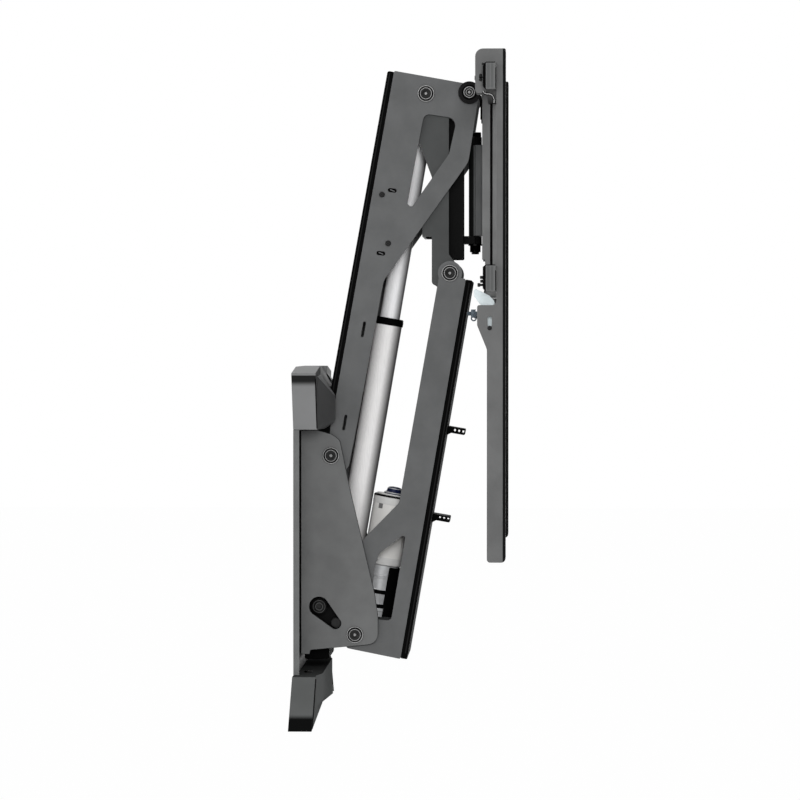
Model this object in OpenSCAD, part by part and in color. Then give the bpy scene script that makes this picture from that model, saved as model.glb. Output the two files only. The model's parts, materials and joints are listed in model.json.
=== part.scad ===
// Motor-driven pull-down wall mount for a flat screen, in its raised position.
// X runs along the wall, -Y points away from the wall and +Z is up.
// The origin is the centre of the wall plate's back face.
// Side outlines are drawn as [p, z], where p is the distance from the wall.

/* [Linkage] */
// Length of both arms between their pivots
arm_len = 350; // [320:1:380]
// Lean of the raised arms from the vertical, in degrees
arm_rest = 14.7; // [13.5:0.1:16]
// Distance of the upper arm's wall pivot from the wall
pivot_a_out = 32.3; // [31:0.1:36]
// Height of the upper arm's wall pivot
pivot_a_up = 88.2; // [85:0.1:92]
// How far the lower pivots lie in front of the upper ones
link_shift = 22.4; // [21:0.1:24]
// How far the lower pivots lie under the upper ones
link_drop = 167.8; // [160:0.1:172]

/* [Wall plate] */
// Width of the wall plate
wall_w = 202; // [190:1:220]
// Height of the wall plate
wall_h = 290; // [280:1:300]
// Thickness of the wall plate
wall_t = 2.5; // [2:0.1:3]
// Depth of the wall plate's edge flanges
wall_flange = 5.5; // [4:0.1:7]
// Side to side distance of the wall bolts
wall_bolt_x = 140; // [130:1:160]
// Height distance of the wall bolts
wall_bolt_z = 260; // [250:1:264]
// Radius of the wall bolt holes
wall_bolt_r = 4.5; // [3:0.1:5]

/* [Wall bracket] */
// Outer width over the two cheeks
cheek_w = 110; // [106:1:120]
// Thickness of the cheeks
cheek_t = 4; // [3:0.1:5]
// Distance of the actuator's rear pin from the wall
pin_out = 36.5; // [36:0.1:38]
// Height of the actuator's rear pin
pin_up = -69; // [-70:0.1:-67]

/* [Covers] */
// Height of the edge of each cover next to the bracket
cover_in = 113.6; // [112.5:0.1:116]
// Height of the upper cover's outer edge at its sides
cover_out = 166; // [160:1:170]
// How far the middle of the upper cover rises over its sides
cover_crown = 5.6; // [3:0.1:9]
// Half width of the upper cover at its outer edge
cover_half = 128; // [118:1:150]
// Depth of the upper cover
cover_d = 22.4; // [18:0.1:23]
// How much shorter the lower cover is in the middle
low_arch = 9.5; // [4:0.5:12]
// Half width of the lower cover, next to the bracket and at its outer edge
low_half_in = 118; // [105:1:125]
low_half_out = 175; // [150:1:180]
// Depth of the lower cover
low_d = 21.4; // [18:0.1:23]
// Depth of the raised middle of the lower cover
hump_d = 26; // [24:0.1:26.5]
// Wall thickness of the covers
cover_t = 2.5; // [2:0.1:3]

/* [Arms] */
// Thickness of the arms' and the link's side plates
plate_t = 3; // [2.5:0.1:3.5]
// Thickness of the cross webs
web_t = 2.5; // [2:0.1:3]
// Gap between neighbouring side plates
plate_gap = 1.5; // [1.2:0.1:2]
// Thickness of the cable covers
strip_t = 6.2; // [5:0.1:7]
// Radius of the pivot bolts
bolt_r = 6; // [5:0.1:7]
// Radial running clearance of the pivots
run_gap = 0.06; // [0.03:0.01:0.09]
// Wall of the pivot bushes
bush_wall = 2; // [1.5:0.1:2.5]

/* [Rollers] */
// Radius of the centring rollers
roller_r = 10.4; // [9:0.1:11]
// Width of the centring rollers
roller_w = 9; // [7:0.5:11]

/* [Actuator] */
// Radius of the actuator's outer tube
tube_r = 12.7; // [12:0.1:13.5]
// Wall of the outer tube
tube_wall = 2.5; // [2:0.1:2.7]
// Distance of the tube's upper end from the rear pin
tube_top = 284; // [270:1:290]
// Radius of the piston rod
rod_r = 9.5; // [8.5:0.1:9.6]
// Radius of the motor can
motor_r = 17; // [15:0.1:18]
// Distance of the motor's axis from the tube's axis
motor_off = 32; // [31:0.1:33]
// Distance of the motor's upper end from the rear pin
motor_top = 126; // [115:1:130]
// Half width of the actuator's two eyes
eye_half = 10; // [9:0.1:10.2]

/* [Head] */
// Distance of the swivel axis in front of the upper link pivot
swivel_out = 45.4; // [45:0.1:47]
// Distance of the bars in front of the upper link pivot
bar_out = 58.1; // [57.5:0.1:59]
// Width of the bars
bar_w = 456; // [450:1:480]
// Height of each bar
bar_h = 24; // [22:0.1:26]
// Depth of each bar
bar_d = 9; // [8:0.1:10]
// Height of the lower bar's centre under the upper bar's centre
bar_gap = 179; // [175:1:183]

/* [Screen rails] */
// Distance between the two rails, centre to centre
rail_gap = 400; // [400:1:410]
// Length of each rail
rail_len = 457; // [445:1:470]
// Width of each rail
rail_w = 28; // [26:0.5:30]
// Sheet thickness of the rails
rail_t = 2.5; // [2:0.1:3]
// Radius of the screen bolt holes
screen_bolt_r = 4.25; // [3:0.05:4.5]
// Height distance of the outermost screen bolts
screen_bolt_z = 400; // [390:1:405]

/* [Hidden] */
$fn = 48;

dark = [0.33, 0.34, 0.34];
pale = [0.86, 0.86, 0.84];
black = [0.05, 0.05, 0.05];
zinc = [0.72, 0.73, 0.74];
plastic = [0.40, 0.41, 0.41];

seat_gap = 0.3;
// The lower cover closes just under the wall plate in the middle and drops further at its corners
low_out = wall_h / 2 + 0.5 + cover_t + low_arch;
arm_half = cheek_w / 2 - cheek_t - plate_gap;
link_half = arm_half - plate_t - plate_gap;
cheek_in = cheek_w / 2 - cheek_t;
lean = [sin(arm_rest), cos(arm_rest)];
pa = [pivot_a_out, pivot_a_up];
pd = pa + [link_shift, -link_drop];
pb = pa + arm_len * lean;
pc = pd + arm_len * lean;
pin_at = [pin_out, pin_up];
stroke_line = pb - pin_at;
act_len = norm(stroke_line);
act_tilt = atan2(stroke_line.x, stroke_line.y);
bush_r = bolt_r + bush_wall;
bore_r = bolt_r + run_gap;
head_r = bolt_r + 2;
nut_t = 5;
lobe_in = arm_half + plate_gap + 1;

// Upper arm: [distance in front of the pivot line, distance up from the wall pivot]
upper_rear_foot = [-7, 20];
upper_rear_top = [-34.2, arm_len + 13.2];
// Lower arm, in the same way
lower_front_foot = [46.9, -11.6];
lower_front_top = [15.9, arm_len - 1.5];
lower_face_tilt = atan2(lower_front_foot.x - lower_front_top.x, lower_front_top.y - lower_front_foot.y);
roller_at = pa + arm_len * lean + [40.7, 0.4];

// Head sizes, from the upper link pivot
swivel_r = 4;
knuckle_r = 6.2;
tab_t = 7.4;
tab_top = -38;
tab_low = -132;
head_plate_t = 3;
upper_bar_z = 3.2;
lower_bar_z = upper_bar_z - bar_gap;
bar_front = bar_out + bar_d;
rail_front = bar_front + 8.6;
rail_top = 28.4;
rail_half = rail_gap / 2;
pawl_pivot = [bar_out + 4.4, lower_bar_z - bar_h / 2 - 16.2];
pawl_pin_r = 2;

// Points of a closed outline whose corners [x, y, r] are rounded by r
function unit(v) = v / norm(v);
function corner(a, b, c, r) =
    let (u = unit(a - b), w = unit(c - b), half = acos(u * w) / 2)
    let (reach = r / tan(half), centre = b + unit(u + w) * r / sin(half))
    let (start = b + u * reach - centre, stop = b + w * reach - centre)
    let (from = atan2(start.y, start.x), turn = atan2(stop.y, stop.x) - from)
    let (sweep = turn > 180 ? turn - 360 : turn < -180 ? turn + 360 : turn)
    let (steps = max(1, ceil(abs(sweep) / 15)))
    [for (i = [0:steps]) centre + r * [cos(from + sweep * i / steps), sin(from + sweep * i / steps)]];
function flat(q) = [q.x, q.y];
function soft(pts) =
    let (n = len(pts))
    [for (i = [0:n - 1])
        let (a = flat(pts[(i + n - 1) % n]), b = flat(pts[i]), c = flat(pts[(i + 1) % n]))
        each (pts[i][2] > 0 ? corner(a, b, c, pts[i][2]) : [b])];
function along(foot, top, s) = foot + unit(top - foot) * s;
function normal(foot, top) = let (d = unit(top - foot)) [d.y, -d.x];

// Turns a [p, z] outline into a plate that runs from x to x + t
module side(x, t) {
    translate([x + t, 0, 0]) rotate([90, 0, -90]) linear_extrude(t) children();
}

// The same plate on both sides of the middle
module sides(x, t) {
    side(x, t) children();
    side(-x - t, t) children();
}

// A round bar along X from x to x + l, at the side point [p, z]
module bar_x(at, r, x, l) {
    translate([x, -at.x, at.y]) rotate([0, 90, 0]) cylinder(r = r, h = l);
}

module bars_x(at, r, x, l) {
    bar_x(at, r, x, l);
    bar_x(at, r, -x - l, l);
}

// A round bar along Y, from p to p + l away from the wall
module bar_y(x, z, r, p, l) {
    translate([x, -p, z]) rotate([90, 0, 0]) cylinder(r = r, h = l);
}

module hex_y(x, z, r, p, l) {
    translate([x, -p, z]) rotate([90, 0, 0]) cylinder(r = r, h = l, $fn = 6);
}

// A block from p to p + d away from the wall
module block(x, p, z, w, d, h) {
    translate([x, -p - d, z]) cube([w, d, h]);
}

// Places an arm's own outline on its wall pivot
module on_arm(foot) {
    translate(foot) rotate(-arm_rest) children();
}

module mirrored() {
    children();
    mirror([1, 0, 0]) children();
}

// Wall unit

module wall_plate() {
    plate_half = wall_w / 2;
    flange_h = 2 * cover_in - 2 * seat_gap;
    lug_z = cover_in + cover_t;
    color(dark) difference() {
        union() {
            block(-plate_half + 4, 0, -wall_h / 2, wall_w - 8, wall_t, wall_h);
            block(-plate_half, 0, -flange_h / 2, wall_w, wall_t, flange_h);
            for (x = [-plate_half, plate_half - wall_t])
                block(x, 0, -flange_h / 2, wall_t, wall_flange, flange_h);
            for (x = [-78, 62], z = [-lug_z - wall_t, lug_z])
                block(x, 0, z, 16, 17, wall_t);
        }
        for (x = [-1, 1], z = [-1, 1])
            bar_y(x * wall_bolt_x / 2, z * wall_bolt_z / 2, wall_bolt_r, -1, wall_t + 2);
        for (z = [-1, 1])
            bar_y(0, z * wall_bolt_z / 2, wall_bolt_r, -1, wall_t + 2);
        cover_screw_shanks();
    }
}

module cheek_outline() {
    polygon(soft([
        [wall_t, 112, 0], [20, 112, 3], [33.5, 108, 5], [40.6, 103, 7], [49, 62, 0],
        [73, -40, 18], [76.4, -62, 8], [76.4, -88, 10], [34.5, -92, 0], [13, -94, 2],
        [12.1, -98, 0], [wall_t, -98, 0]
    ]));
}

module teardrop() {
    big_r = 9;
    small_r = 5.2;
    sunk = 0.06;
    small = pin_at;
    big = pin_at + [-15.5, 15.8];
    d = small - big;
    tilt = acos((big_r - small_r) / norm(d));
    face = atan2(d.y, d.x);
    translate(big) circle(big_r);
    translate(small) circle(small_r);
    polygon([
        for (side_sign = [1, -1], end = (side_sign > 0 ? [0, 1] : [1, 0]))
            (end == 0 ? big : small) + ((end == 0 ? big_r : small_r) - sunk)
                * [cos(face + side_sign * tilt), sin(face + side_sign * tilt)]
    ]);
}

module wall_bracket() {
    color(dark) difference() {
        union() {
            sides(cheek_in, cheek_t) cheek_outline();
            block(-cheek_w / 2, wall_t, -98, cheek_w, cheek_t, 210);
        }
        sides(cheek_in - 1, cheek_t + 2) teardrop();
        bars_x(pa, bolt_r, cheek_in - 1, cheek_t + 2);
        bars_x(pd, bolt_r, cheek_in - 1, cheek_t + 2);
    }
}

// The upper cover's outer form, shrunk all over by inset. Its sides slant, and a wall that is
// inset thick measures inset * through along X
module upper_form(inset) {
    inner = cover_in + inset;
    outer = cover_out - inset;
    slant = (cover_half - wall_w / 2) / (cover_out - cover_in);
    through = sqrt(1 + slant * slant);
    half_in = wall_w / 2 + inset * (slant - through);
    half_out = cover_half - inset * (slant + through);
    flat_half = half_out / 2;
    translate([0, 1, 0]) rotate([90, 0, 0]) linear_extrude(cover_d - inset + 1) polygon([
        [-half_in, inner], [half_in, inner], [half_out, outer],
        [flat_half, outer + cover_crown], [-flat_half, outer + cover_crown], [-half_out, outer]
    ]);
}

// The middle of the upper cover slopes up and back, parallel to the raised arm
module upper_swell(inset) {
    side(-lobe_in, 2 * lobe_in) polygon([
        [cover_d - 6, cover_in + inset], [cover_d - inset, cover_in + inset],
        [28 - inset, cover_in + 38.5], [17.5 - inset, cover_out + cover_crown - inset],
        [cover_d - 6, cover_out + cover_crown - inset]
    ]);
}

// Above the swell, the front corner of the cover's middle slopes the same way
module sloped_corner(inset) {
    side(-lobe_in - inset, 2 * (lobe_in + inset)) polygon([
        [17.5 - inset, cover_out + cover_crown + 1], [17.5 - inset, cover_out + cover_crown],
        [28 - inset, cover_in + 38.5], [40, cover_in + 38.5], [40, cover_out + cover_crown + 1]
    ]);
}

// The lobe beside the arm
module lobe(inset) {
    hull() {
        side(lobe_in + inset, 13 - inset) polygon(soft([
            [cover_d - 6, cover_in + inset, 0], [27 - inset, cover_in + inset, 3],
            [36.4 - inset, cover_in + 7 + inset / 2, 6], [36.4 - inset, cover_in + 31 - inset, 6],
            [22.4 - inset, cover_in + 51 - inset, 4], [cover_d - 6, cover_in + 51 - inset, 0]
        ]));
        side(lobe_in + 44 - inset, 1) polygon([
            [cover_d - 6, cover_in + inset], [cover_d - inset, cover_in + inset],
            [cover_d - inset, cover_in + 49 - inset], [cover_d - 6, cover_in + 51 - inset]
        ]);
    }
}

module lower_form(inset) {
    inner = cover_in + inset;
    outer = low_out - inset;
    slant = (low_half_out - low_half_in) / (low_out - cover_in);
    through = sqrt(1 + slant * slant);
    half_in = low_half_in + inset * (slant - through);
    half_out = low_half_out - inset * (slant + through);
    translate([0, 1, 0]) rotate([90, 0, 0]) linear_extrude(low_d - inset + 1) polygon([
        [-half_in, inner], [half_in, inner], [half_out, outer], [0, outer - low_arch], [-half_out, outer]
    ]);
}

module lower_hump(inset) {
    inner = cover_in + inset;
    outer = low_out - low_arch - inset;
    wide = wall_w / 2 - inset;
    narrow = wide - 21;
    intersection() {
        translate([0, 0, inner]) linear_extrude(outer - inner) polygon([
            [-wide, 1], [wide, 1], [wide, -low_d + inset], [narrow, -hump_d + inset],
            [-narrow, -hump_d + inset], [-wide, -low_d + inset]
        ]);
        side(-wide, 2 * wide) polygon([
            [-1, inner], [hump_d - inset, inner], [hump_d - inset, inner + 25 - inset],
            [low_d - 5.4 - inset, outer], [-1, outer]
        ]);
    }
}

module cover_cuts() {
    translate([-low_half_out - 1, 0, 0]) cube([2 * low_half_out + 2, 3, cover_out + 20]);
    block(-wall_w / 2 + 3, -1, 0, wall_w - 6, 1 + wall_t + seat_gap, cover_in + 3);
    cover_screw_shanks();
}

module upper_cover() {
    color(plastic) difference() {
        union() {
            upper_form(0);
            upper_swell(0);
            mirrored() lobe(0);
        }
        difference() {
            union() {
                upper_form(cover_t);
                upper_swell(cover_t);
                mirrored() lobe(cover_t);
            }
            sloped_corner(cover_t);
        }
        sloped_corner(0);
        cover_cuts();
    }
}

module lower_cover() {
    color(plastic) mirror([0, 0, 1]) difference() {
        union() {
            lower_form(0);
            lower_hump(0);
        }
        lower_form(cover_t);
        lower_hump(cover_t);
        cover_cuts();
    }
}

cover_screw_r = 2;
module cover_screw_shanks() {
    for (x = [-70, 70], z = [-1, 1])
        translate([x, -12, z > 0 ? cover_in - 1 : -cover_in - 8]) cylinder(r = cover_screw_r, h = 9);
}

module cover_screws() {
    color(black) for (x = [-70, 70], z = [0, 1]) mirror([0, 0, z]) translate([x, -12, 0]) {
        translate([0, 0, cover_in]) cylinder(r = cover_screw_r, h = 7.5);
        translate([0, 0, cover_in - 1.6]) cylinder(r = 3.8, h = 1.6);
    }
}

module control_box() {
    color(black) difference() {
        side(-38, 76) polygon(soft([
            [wall_t + cheek_t, -104, 1.5], [30, -104, 2], [30, -95, 2.5], [25, -90, 2],
            [wall_t + cheek_t, -90, 1]
        ]));
        for (x = [-20, 8]) block(x, 26, -102, 12, 6, 5);
    }
}

module anchor_bracket() {
    ear_x = 38;
    ear_t = 3;
    rest = wall_t + cheek_t;
    big = pin_at + [-15.5, 15.8];
    color(dark) difference() {
        union() {
            sides(ear_x, ear_t) polygon(soft([
                [rest, -44, 0], [22, -44, 8], [46, -62, 10], [46, -79, 10], [rest, -79, 0]
            ]));
            block(-ear_x - ear_t, rest, -79, 2 * (ear_x + ear_t), 2, 35);
            bars_x(big, 7.5, ear_x + ear_t, cheek_in - ear_x - ear_t);
        }
        bars_x(pin_at, 5, ear_x - 1, ear_t + 2);
        bars_x(big, 4, ear_x + ear_t + 1, 20);
    }
}

module anchor_pin() {
    color(zinc) {
        bar_x(pin_at, 5, -cheek_in + 4, 2 * cheek_in - 8);
        bars_x(pin_at, 4.4, cheek_in - 4, 1);
    }
}

module anchor_bolts() {
    big = pin_at + [-15.5, 15.8];
    color(black) difference() {
        union() {
            bars_x(big, 6.4, cheek_in, 4.5);
            bars_x(big, 4, 42, cheek_in - 42);
        }
        for (s = [-1, 1]) translate([s * (cheek_w / 2 + 0.5), -big.x, big.y])
            rotate([0, 90, 0]) cylinder(r = 3, h = 4, center = true, $fn = 6);
    }
}

// A domed pivot bolt on each side, from x inward, with its ring, its head and its nut
module pivot_bolts(at, x, length) {
    color(black) mirrored() difference() {
        union() {
            bar_x(at, bolt_r, x - length, length);
            bar_x(at, head_r, x, 1.2);
            bar_x(at, head_r - 1.8, x + 1.2, 1.8);
            translate([x - length, -at.x, at.y]) rotate([0, 90, 0])
                cylinder(r = bolt_r + 3, h = nut_t, $fn = 6);
        }
        translate([x + 1.4, -at.x, at.y]) rotate([0, 90, 0]) cylinder(r = 3.2, h = 4, $fn = 6);
    }
}

module pivot_bolts_a() {
    pivot_bolts(pa, cheek_w / 2, cheek_w / 2 - arm_half + plate_t + seat_gap + nut_t);
}

module pivot_bolts_d() {
    pivot_bolts(pd, cheek_w / 2, cheek_w / 2 - arm_half + plate_t + seat_gap + nut_t);
}

// Upper arm

module upper_arm_outline() {
    polygon(soft([
        [-14, -13, 11], [19, -13, 9], [15.8, 38, 0], [6, arm_len - 179, 12], [54.6, arm_len - 52, 16],
        [47.3, arm_len + 19.6, 12], [upper_rear_top.x, upper_rear_top.y, 1.5],
        [upper_rear_foot.x, upper_rear_foot.y, 0], [-14, 8, 5]
    ]));
}

module upper_window() {
    polygon(soft([
        [3, arm_len - 18.4, 6], [34, arm_len - 15.2, 8], [35.2, arm_len - 49, 4],
        [13.6, arm_len - 107, 2.5], [9, arm_len - 103.5, 2]
    ]));
}

// A slot of half width r along the arm
module arm_slot(at, r, length, tilt) {
    translate(at) rotate(tilt) {
        square([2 * r, length - 2 * r], center = true);
        for (s = [-1, 1]) translate([0, s * (length / 2 - r)]) circle(r);
    }
}

module upper_arm() {
    n = normal(upper_rear_foot, upper_rear_top);
    rear_angle = atan2(upper_rear_foot.x - upper_rear_top.x, upper_rear_top.y - upper_rear_foot.y);
    color(dark) difference() {
        union() {
            sides(arm_half - plate_t, plate_t) on_arm(pa) upper_arm_outline();
            side(-arm_half + plate_t, 2 * (arm_half - plate_t)) on_arm(pa) polygon([
                along(upper_rear_foot, upper_rear_top, 6), along(upper_rear_foot, upper_rear_top, arm_len - 9),
                along(upper_rear_foot, upper_rear_top, arm_len - 9) + n * web_t,
                along(upper_rear_foot, upper_rear_top, 6) + n * web_t
            ]);
        }
        sides(arm_half - plate_t - 1, plate_t + 2) on_arm(pa) {
            upper_window();
            arm_slot([-7.6, arm_len - 95.4], 1.9, 8.4, 98);
            arm_slot([-3, arm_len - 155], 1.9, 8.4, 98);
            arm_slot([-0.8, 122], 1.4, 15, rear_angle);
            arm_slot([4.4, 33], 1.4, 15, rear_angle);
            circle(bush_r);
            translate([0, arm_len]) circle(bush_r);
        }
        bars_x(roller_at, 3, arm_half - plate_t - 1, plate_t + 2);
    }
}

module upper_cable_cover() {
    n = normal(upper_rear_foot, upper_rear_top);
    a = along(upper_rear_foot, upper_rear_top, 4);
    b = along(upper_rear_foot, upper_rear_top, norm(upper_rear_top - upper_rear_foot) - 1);
    color(black) side(-arm_half + 1, 2 * arm_half - 2) on_arm(pa)
        polygon(soft([[a.x, a.y, 0], [b.x, b.y, 0],
            [b.x - n.x * strip_t, b.y - n.y * strip_t, 2], [a.x - n.x * strip_t, a.y - n.y * strip_t, 3]]));
}

// A flanged bush in each arm plate. The flange fills the gap outside the plate
module bushes(at, flange_out) {
    flange_t = plate_gap - seat_gap;
    x = arm_half - plate_t;
    mirrored() difference() {
        union() {
            bar_x(at, bush_r, x, plate_t);
            bar_x(at, bush_r + 2.4, flange_out ? arm_half : x - flange_t, flange_t);
        }
        bar_x(at, bore_r, x - 3, plate_t + 6);
    }
}

module upper_arm_bushes() {
    color(black) {
        bushes(pa, true);
        bushes(pb, false);
    }
}

module roller_screws() {
    color(zinc) {
        bars_x(roller_at, 3, arm_half - plate_t, plate_t + 0.6);
        bars_x(roller_at, 4, arm_half + 0.6, roller_w + 0.6);
        bars_x(roller_at, 6, arm_half + roller_w + 1.2, 2);
    }
}

module roller_hub() {
    color(black) difference() {
        bar_x(roller_at, roller_r - 3.4, arm_half + 0.9, roller_w);
        bar_x(roller_at, 4 + run_gap, arm_half, roller_w + 2);
    }
}

module roller_tyre() {
    color([0.09, 0.09, 0.09])
        translate([arm_half + 0.9, -roller_at.x, roller_at.y]) rotate([0, 90, 0]) rotate_extrude()
            polygon([[roller_r - 3.4, 0], [roller_r - 1, 0], [roller_r, 1], [roller_r, roller_w - 1],
                [roller_r - 1, roller_w], [roller_r - 3.4, roller_w]]);
}

module roller_hub_right() { roller_hub(); }
module roller_tyre_right() { roller_tyre(); }
module roller_hub_left() { mirror([1, 0, 0]) roller_hub(); }
module roller_tyre_left() { mirror([1, 0, 0]) roller_tyre(); }

// Lower arm

module lower_arm_outline() {
    polygon(soft([
        [lower_front_foot.x, lower_front_foot.y, 1.5], [lower_front_top.x, lower_front_top.y, 2],
        [-9.5, lower_front_top.y, 2], [8.6, 130, 6], [-15.4, 88, 9], [-9, -9, 3], [-4, -14.6, 3]
    ]));
    translate([0, arm_len]) circle(11.4);
}

module lower_window() {
    polygon(soft([
        [22, 104, 2], [29.3, 21, 4], [9, 17.5, 6], [1.2, 66, 8], [3, 80, 3]
    ]));
}

module lower_arm() {
    n = normal(lower_front_foot, lower_front_top);
    face = norm(lower_front_top - lower_front_foot);
    a = along(lower_front_foot, lower_front_top, 1.5);
    b = along(lower_front_foot, lower_front_top, face - 16);
    color(dark) difference() {
        union() {
            sides(arm_half - plate_t, plate_t) on_arm(pd) lower_arm_outline();
            side(-arm_half + plate_t, 2 * (arm_half - plate_t)) on_arm(pd)
                polygon([a, b, b - n * web_t, a - n * web_t]);
        }
        sides(arm_half - plate_t - 1, plate_t + 2) on_arm(pd) {
            lower_window();
            circle(bush_r);
            translate([0, arm_len]) circle(bush_r);
        }
    }
}

module lower_cable_cover() {
    n = normal(lower_front_foot, lower_front_top);
    a = along(lower_front_foot, lower_front_top, 0.6);
    b = along(lower_front_foot, lower_front_top, norm(lower_front_top - lower_front_foot) - 0.4);
    color(black) side(-arm_half + 1, 2 * arm_half - 2) on_arm(pd)
        polygon(soft([[a.x, a.y, 0], [a.x + n.x * strip_t, a.y + n.y * strip_t, 1],
            [b.x + n.x * strip_t, b.y + n.y * strip_t, 1], [b.x, b.y, 0]]));
}

// A cable clip stands square on the lower cable cover, with three windows
module clip_outline() {
    difference() {
        polygon(soft([[0, -6, 0], [4, -2.9, 1], [17, -2.9, 1], [17, 2.9, 1], [0, 2.9, 0]]));
        for (i = [0:2]) translate([7 + 4 * i, 0]) square([2, 2.6], center = true);
    }
}

module cable_clips() {
    n = normal(lower_front_foot, lower_front_top);
    color(black) for (u = [0.36, 0.60]) {
        root = along(lower_front_foot, lower_front_top, u * arm_len + 9) + n * strip_t;
        side(-14, 28) on_arm(pd) translate(root) rotate(lower_face_tilt) clip_outline();
    }
}

module lower_arm_bushes() {
    color(black) {
        bushes(pd, true);
        bushes(pc, false);
    }
}

// Head link

module link_outline() {
    c = [link_shift, -link_drop];
    translate(pb) {
        polygon(soft([
            [-13, -5, 0], [-6.5, -46, 2], [5.6, -78.5, 2], [-3.6, -104, 2], [-3.6, -133.5, 0],
            [5.3, -133.5, 0], [5.3, c.y - 11.4, 4], [c.x, c.y - 11.4, 0], [c.x + 11.4, c.y, 0],
            [21.3, c.y + 18, 0], [21.3, -21, 3], [12.5, 6, 0]
        ]));
        circle(13.5);
        translate(c) circle(11.4);
    }
}

module link_bracket() {
    inner = link_half - plate_t;
    color(dark) difference() {
        union() {
            sides(inner, plate_t) link_outline();
            block(-inner, pb.x + 21.3 - web_t, pb.y - 150, 2 * inner, web_t, 122);
            block(-inner, pb.x - 3.6, pb.y - 133.5, 2 * inner, web_t, 27);
        }
        bars_x(pb, bolt_r, inner - 1, plate_t + 2);
        bars_x(pc, bolt_r, inner - 1, plate_t + 2);
    }
}

module swivel_bracket() {
    face = pb.x + 21.3;
    low = pb.y + tab_low - 22;
    high = pb.y - 22;
    color(black) difference() {
        union() {
            block(-30, face, low, 60, 3, high - low);
            for (x = [-30, 27]) side(x, 3) translate([face, low])
                polygon(soft([[0, 0, 0], [13.2, 0, 1.5], [13.2, high - low - 8, 3], [0, high - low, 0]]));
            for (z = [tab_top - tab_t, tab_low - tab_t]) {
                block(-12, face, pb.y + z, 24, swivel_out - 21.3, tab_t);
                translate([0, -pb.x - swivel_out, pb.y + z]) cylinder(r = knuckle_r, h = tab_t);
            }
        }
        translate([0, -pb.x - swivel_out, pb.y + tab_low - 30]) cylinder(r = swivel_r, h = 140);
        for (z = [tab_top - tab_t, tab_low - tab_t], s = [-1, 1])
            translate([s * 12, -pb.x - swivel_out - knuckle_r, pb.y + z - 1])
                cylinder(r = 2 * knuckle_r - 6.6, h = tab_t + 2);
    }
}

module pivot_bolts_b() {
    pivot_bolts(pb, arm_half + 0.2, arm_half + 0.2 - link_half + plate_t + nut_t);
}

module pivot_bolts_c() {
    pivot_bolts(pc, arm_half + 0.2, arm_half + 0.2 - link_half + plate_t + nut_t);
}

// A short tube on each side carries the rod eye between the link's plates
module rod_spacers() {
    nut_face = link_half - plate_t - nut_t;
    color(zinc) mirrored() difference() {
        bar_x(pb, 12, eye_half + 0.4, nut_face - eye_half - 0.4);
        bar_x(pb, 5, eye_half + 4, 40);
    }
}

module swivel_bolt() {
    top = pb.y + tab_top;
    low = pb.y + tab_low - tab_t;
    color(black) translate([0, -pb.x - swivel_out, 0]) {
        translate([0, 0, low]) cylinder(r = swivel_r, h = top - low);
        translate([0, 0, top]) cylinder(r = 6.5, h = 4.5, $fn = 6);
        translate([0, 0, low - 1.2]) cylinder(r = 6.6, h = 1.2);
        translate([0, 0, low - 7.6]) cylinder(r = 5.8, h = 6.4, $fn = 6);
        translate([0, 0, low - 9.6]) cylinder(r = swivel_r - 0.4, h = 2.2);
    }
}

// Head

module swivel_knuckle() {
    low = pb.y + tab_low + seat_gap;
    high = pb.y + tab_top - tab_t - seat_gap;
    color(black) difference() {
        union() {
            translate([0, -pb.x - swivel_out, low]) cylinder(r = knuckle_r, h = high - low);
            block(-9, pb.x + swivel_out, low, 18, bar_out - head_plate_t - swivel_out, high - low);
        }
        translate([0, -pb.x - swivel_out, low - 1]) cylinder(r = swivel_r + run_gap, h = high - low + 2);
    }
}

head_bolt_x = 25;
module head_bolt_holes(r, p, l) {
    for (x = [-head_bolt_x, head_bolt_x], z = [upper_bar_z, lower_bar_z])
        bar_y(x, pb.y + z, r, p, l);
}

module head_plate() {
    rear = pb.x + bar_out - head_plate_t;
    low = lower_bar_z - bar_h / 2;
    high = upper_bar_z + bar_h / 2;
    mid_low = lower_bar_z + bar_h / 2 + seat_gap;
    mid_high = upper_bar_z - bar_h / 2 - seat_gap;
    color(dark) difference() {
        union() {
            block(-38, rear, pb.y + low, 76, head_plate_t, high - low);
            for (x = [-38, 35]) {
                block(x, rear - 2.7, pb.y - 155, 3, 2.8, 157);
                block(x, rear + 2.9, pb.y + mid_low, 3, bar_d - 1.6, mid_high - mid_low);
            }
            block(-38, rear + bar_d + 1, pb.y + mid_low, 76, 1.8, mid_high - mid_low);
        }
        head_bolt_holes(3, rear - 1, head_plate_t + 2);
        for (x = [-38, 36]) block(x - 1, rear + 4.8, pb.y + mid_low - 1, 3, 2.2, mid_high - mid_low + 2);
    }
}

module head_bolts() {
    rear = pb.x + bar_out - head_plate_t;
    color(black) {
        head_bolt_holes(3, rear, head_plate_t + 2);
        head_bolt_holes(5, rear - 2.4, 2.4);
    }
}

module cross_bar(z) {
    wall = 2;
    low = pb.y + z - bar_h / 2;
    color(dark) difference() {
        block(-bar_w / 2, pb.x + bar_out, low, bar_w, bar_d, bar_h);
        block(-bar_w / 2 - 1, pb.x + bar_out + wall, low + wall, bar_w + 2, bar_d - 2 * wall, bar_h - 2 * wall);
        head_bolt_holes(3, pb.x + bar_out - 1, 3);
    }
}

module upper_bar() { cross_bar(upper_bar_z); }
module lower_bar() { cross_bar(lower_bar_z); }

module bar_end_caps() {
    color(black) mirrored() for (z = [upper_bar_z, lower_bar_z]) {
        block(bar_w / 2, pb.x + bar_out, pb.y + z - bar_h / 2, 2.4, bar_d, bar_h);
        block(bar_w / 2 - 8, pb.x + bar_out + 2, pb.y + z - bar_h / 2 + 2, 8, bar_d - 4, bar_h - 4);
    }
}

module wear_pads() {
    color(black) for (x = [-34, 24])
        block(x, pb.x + bar_out - head_plate_t - 4.5, pb.y - 23, 10, 4.5, 18);
}

// Screen rails

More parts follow.
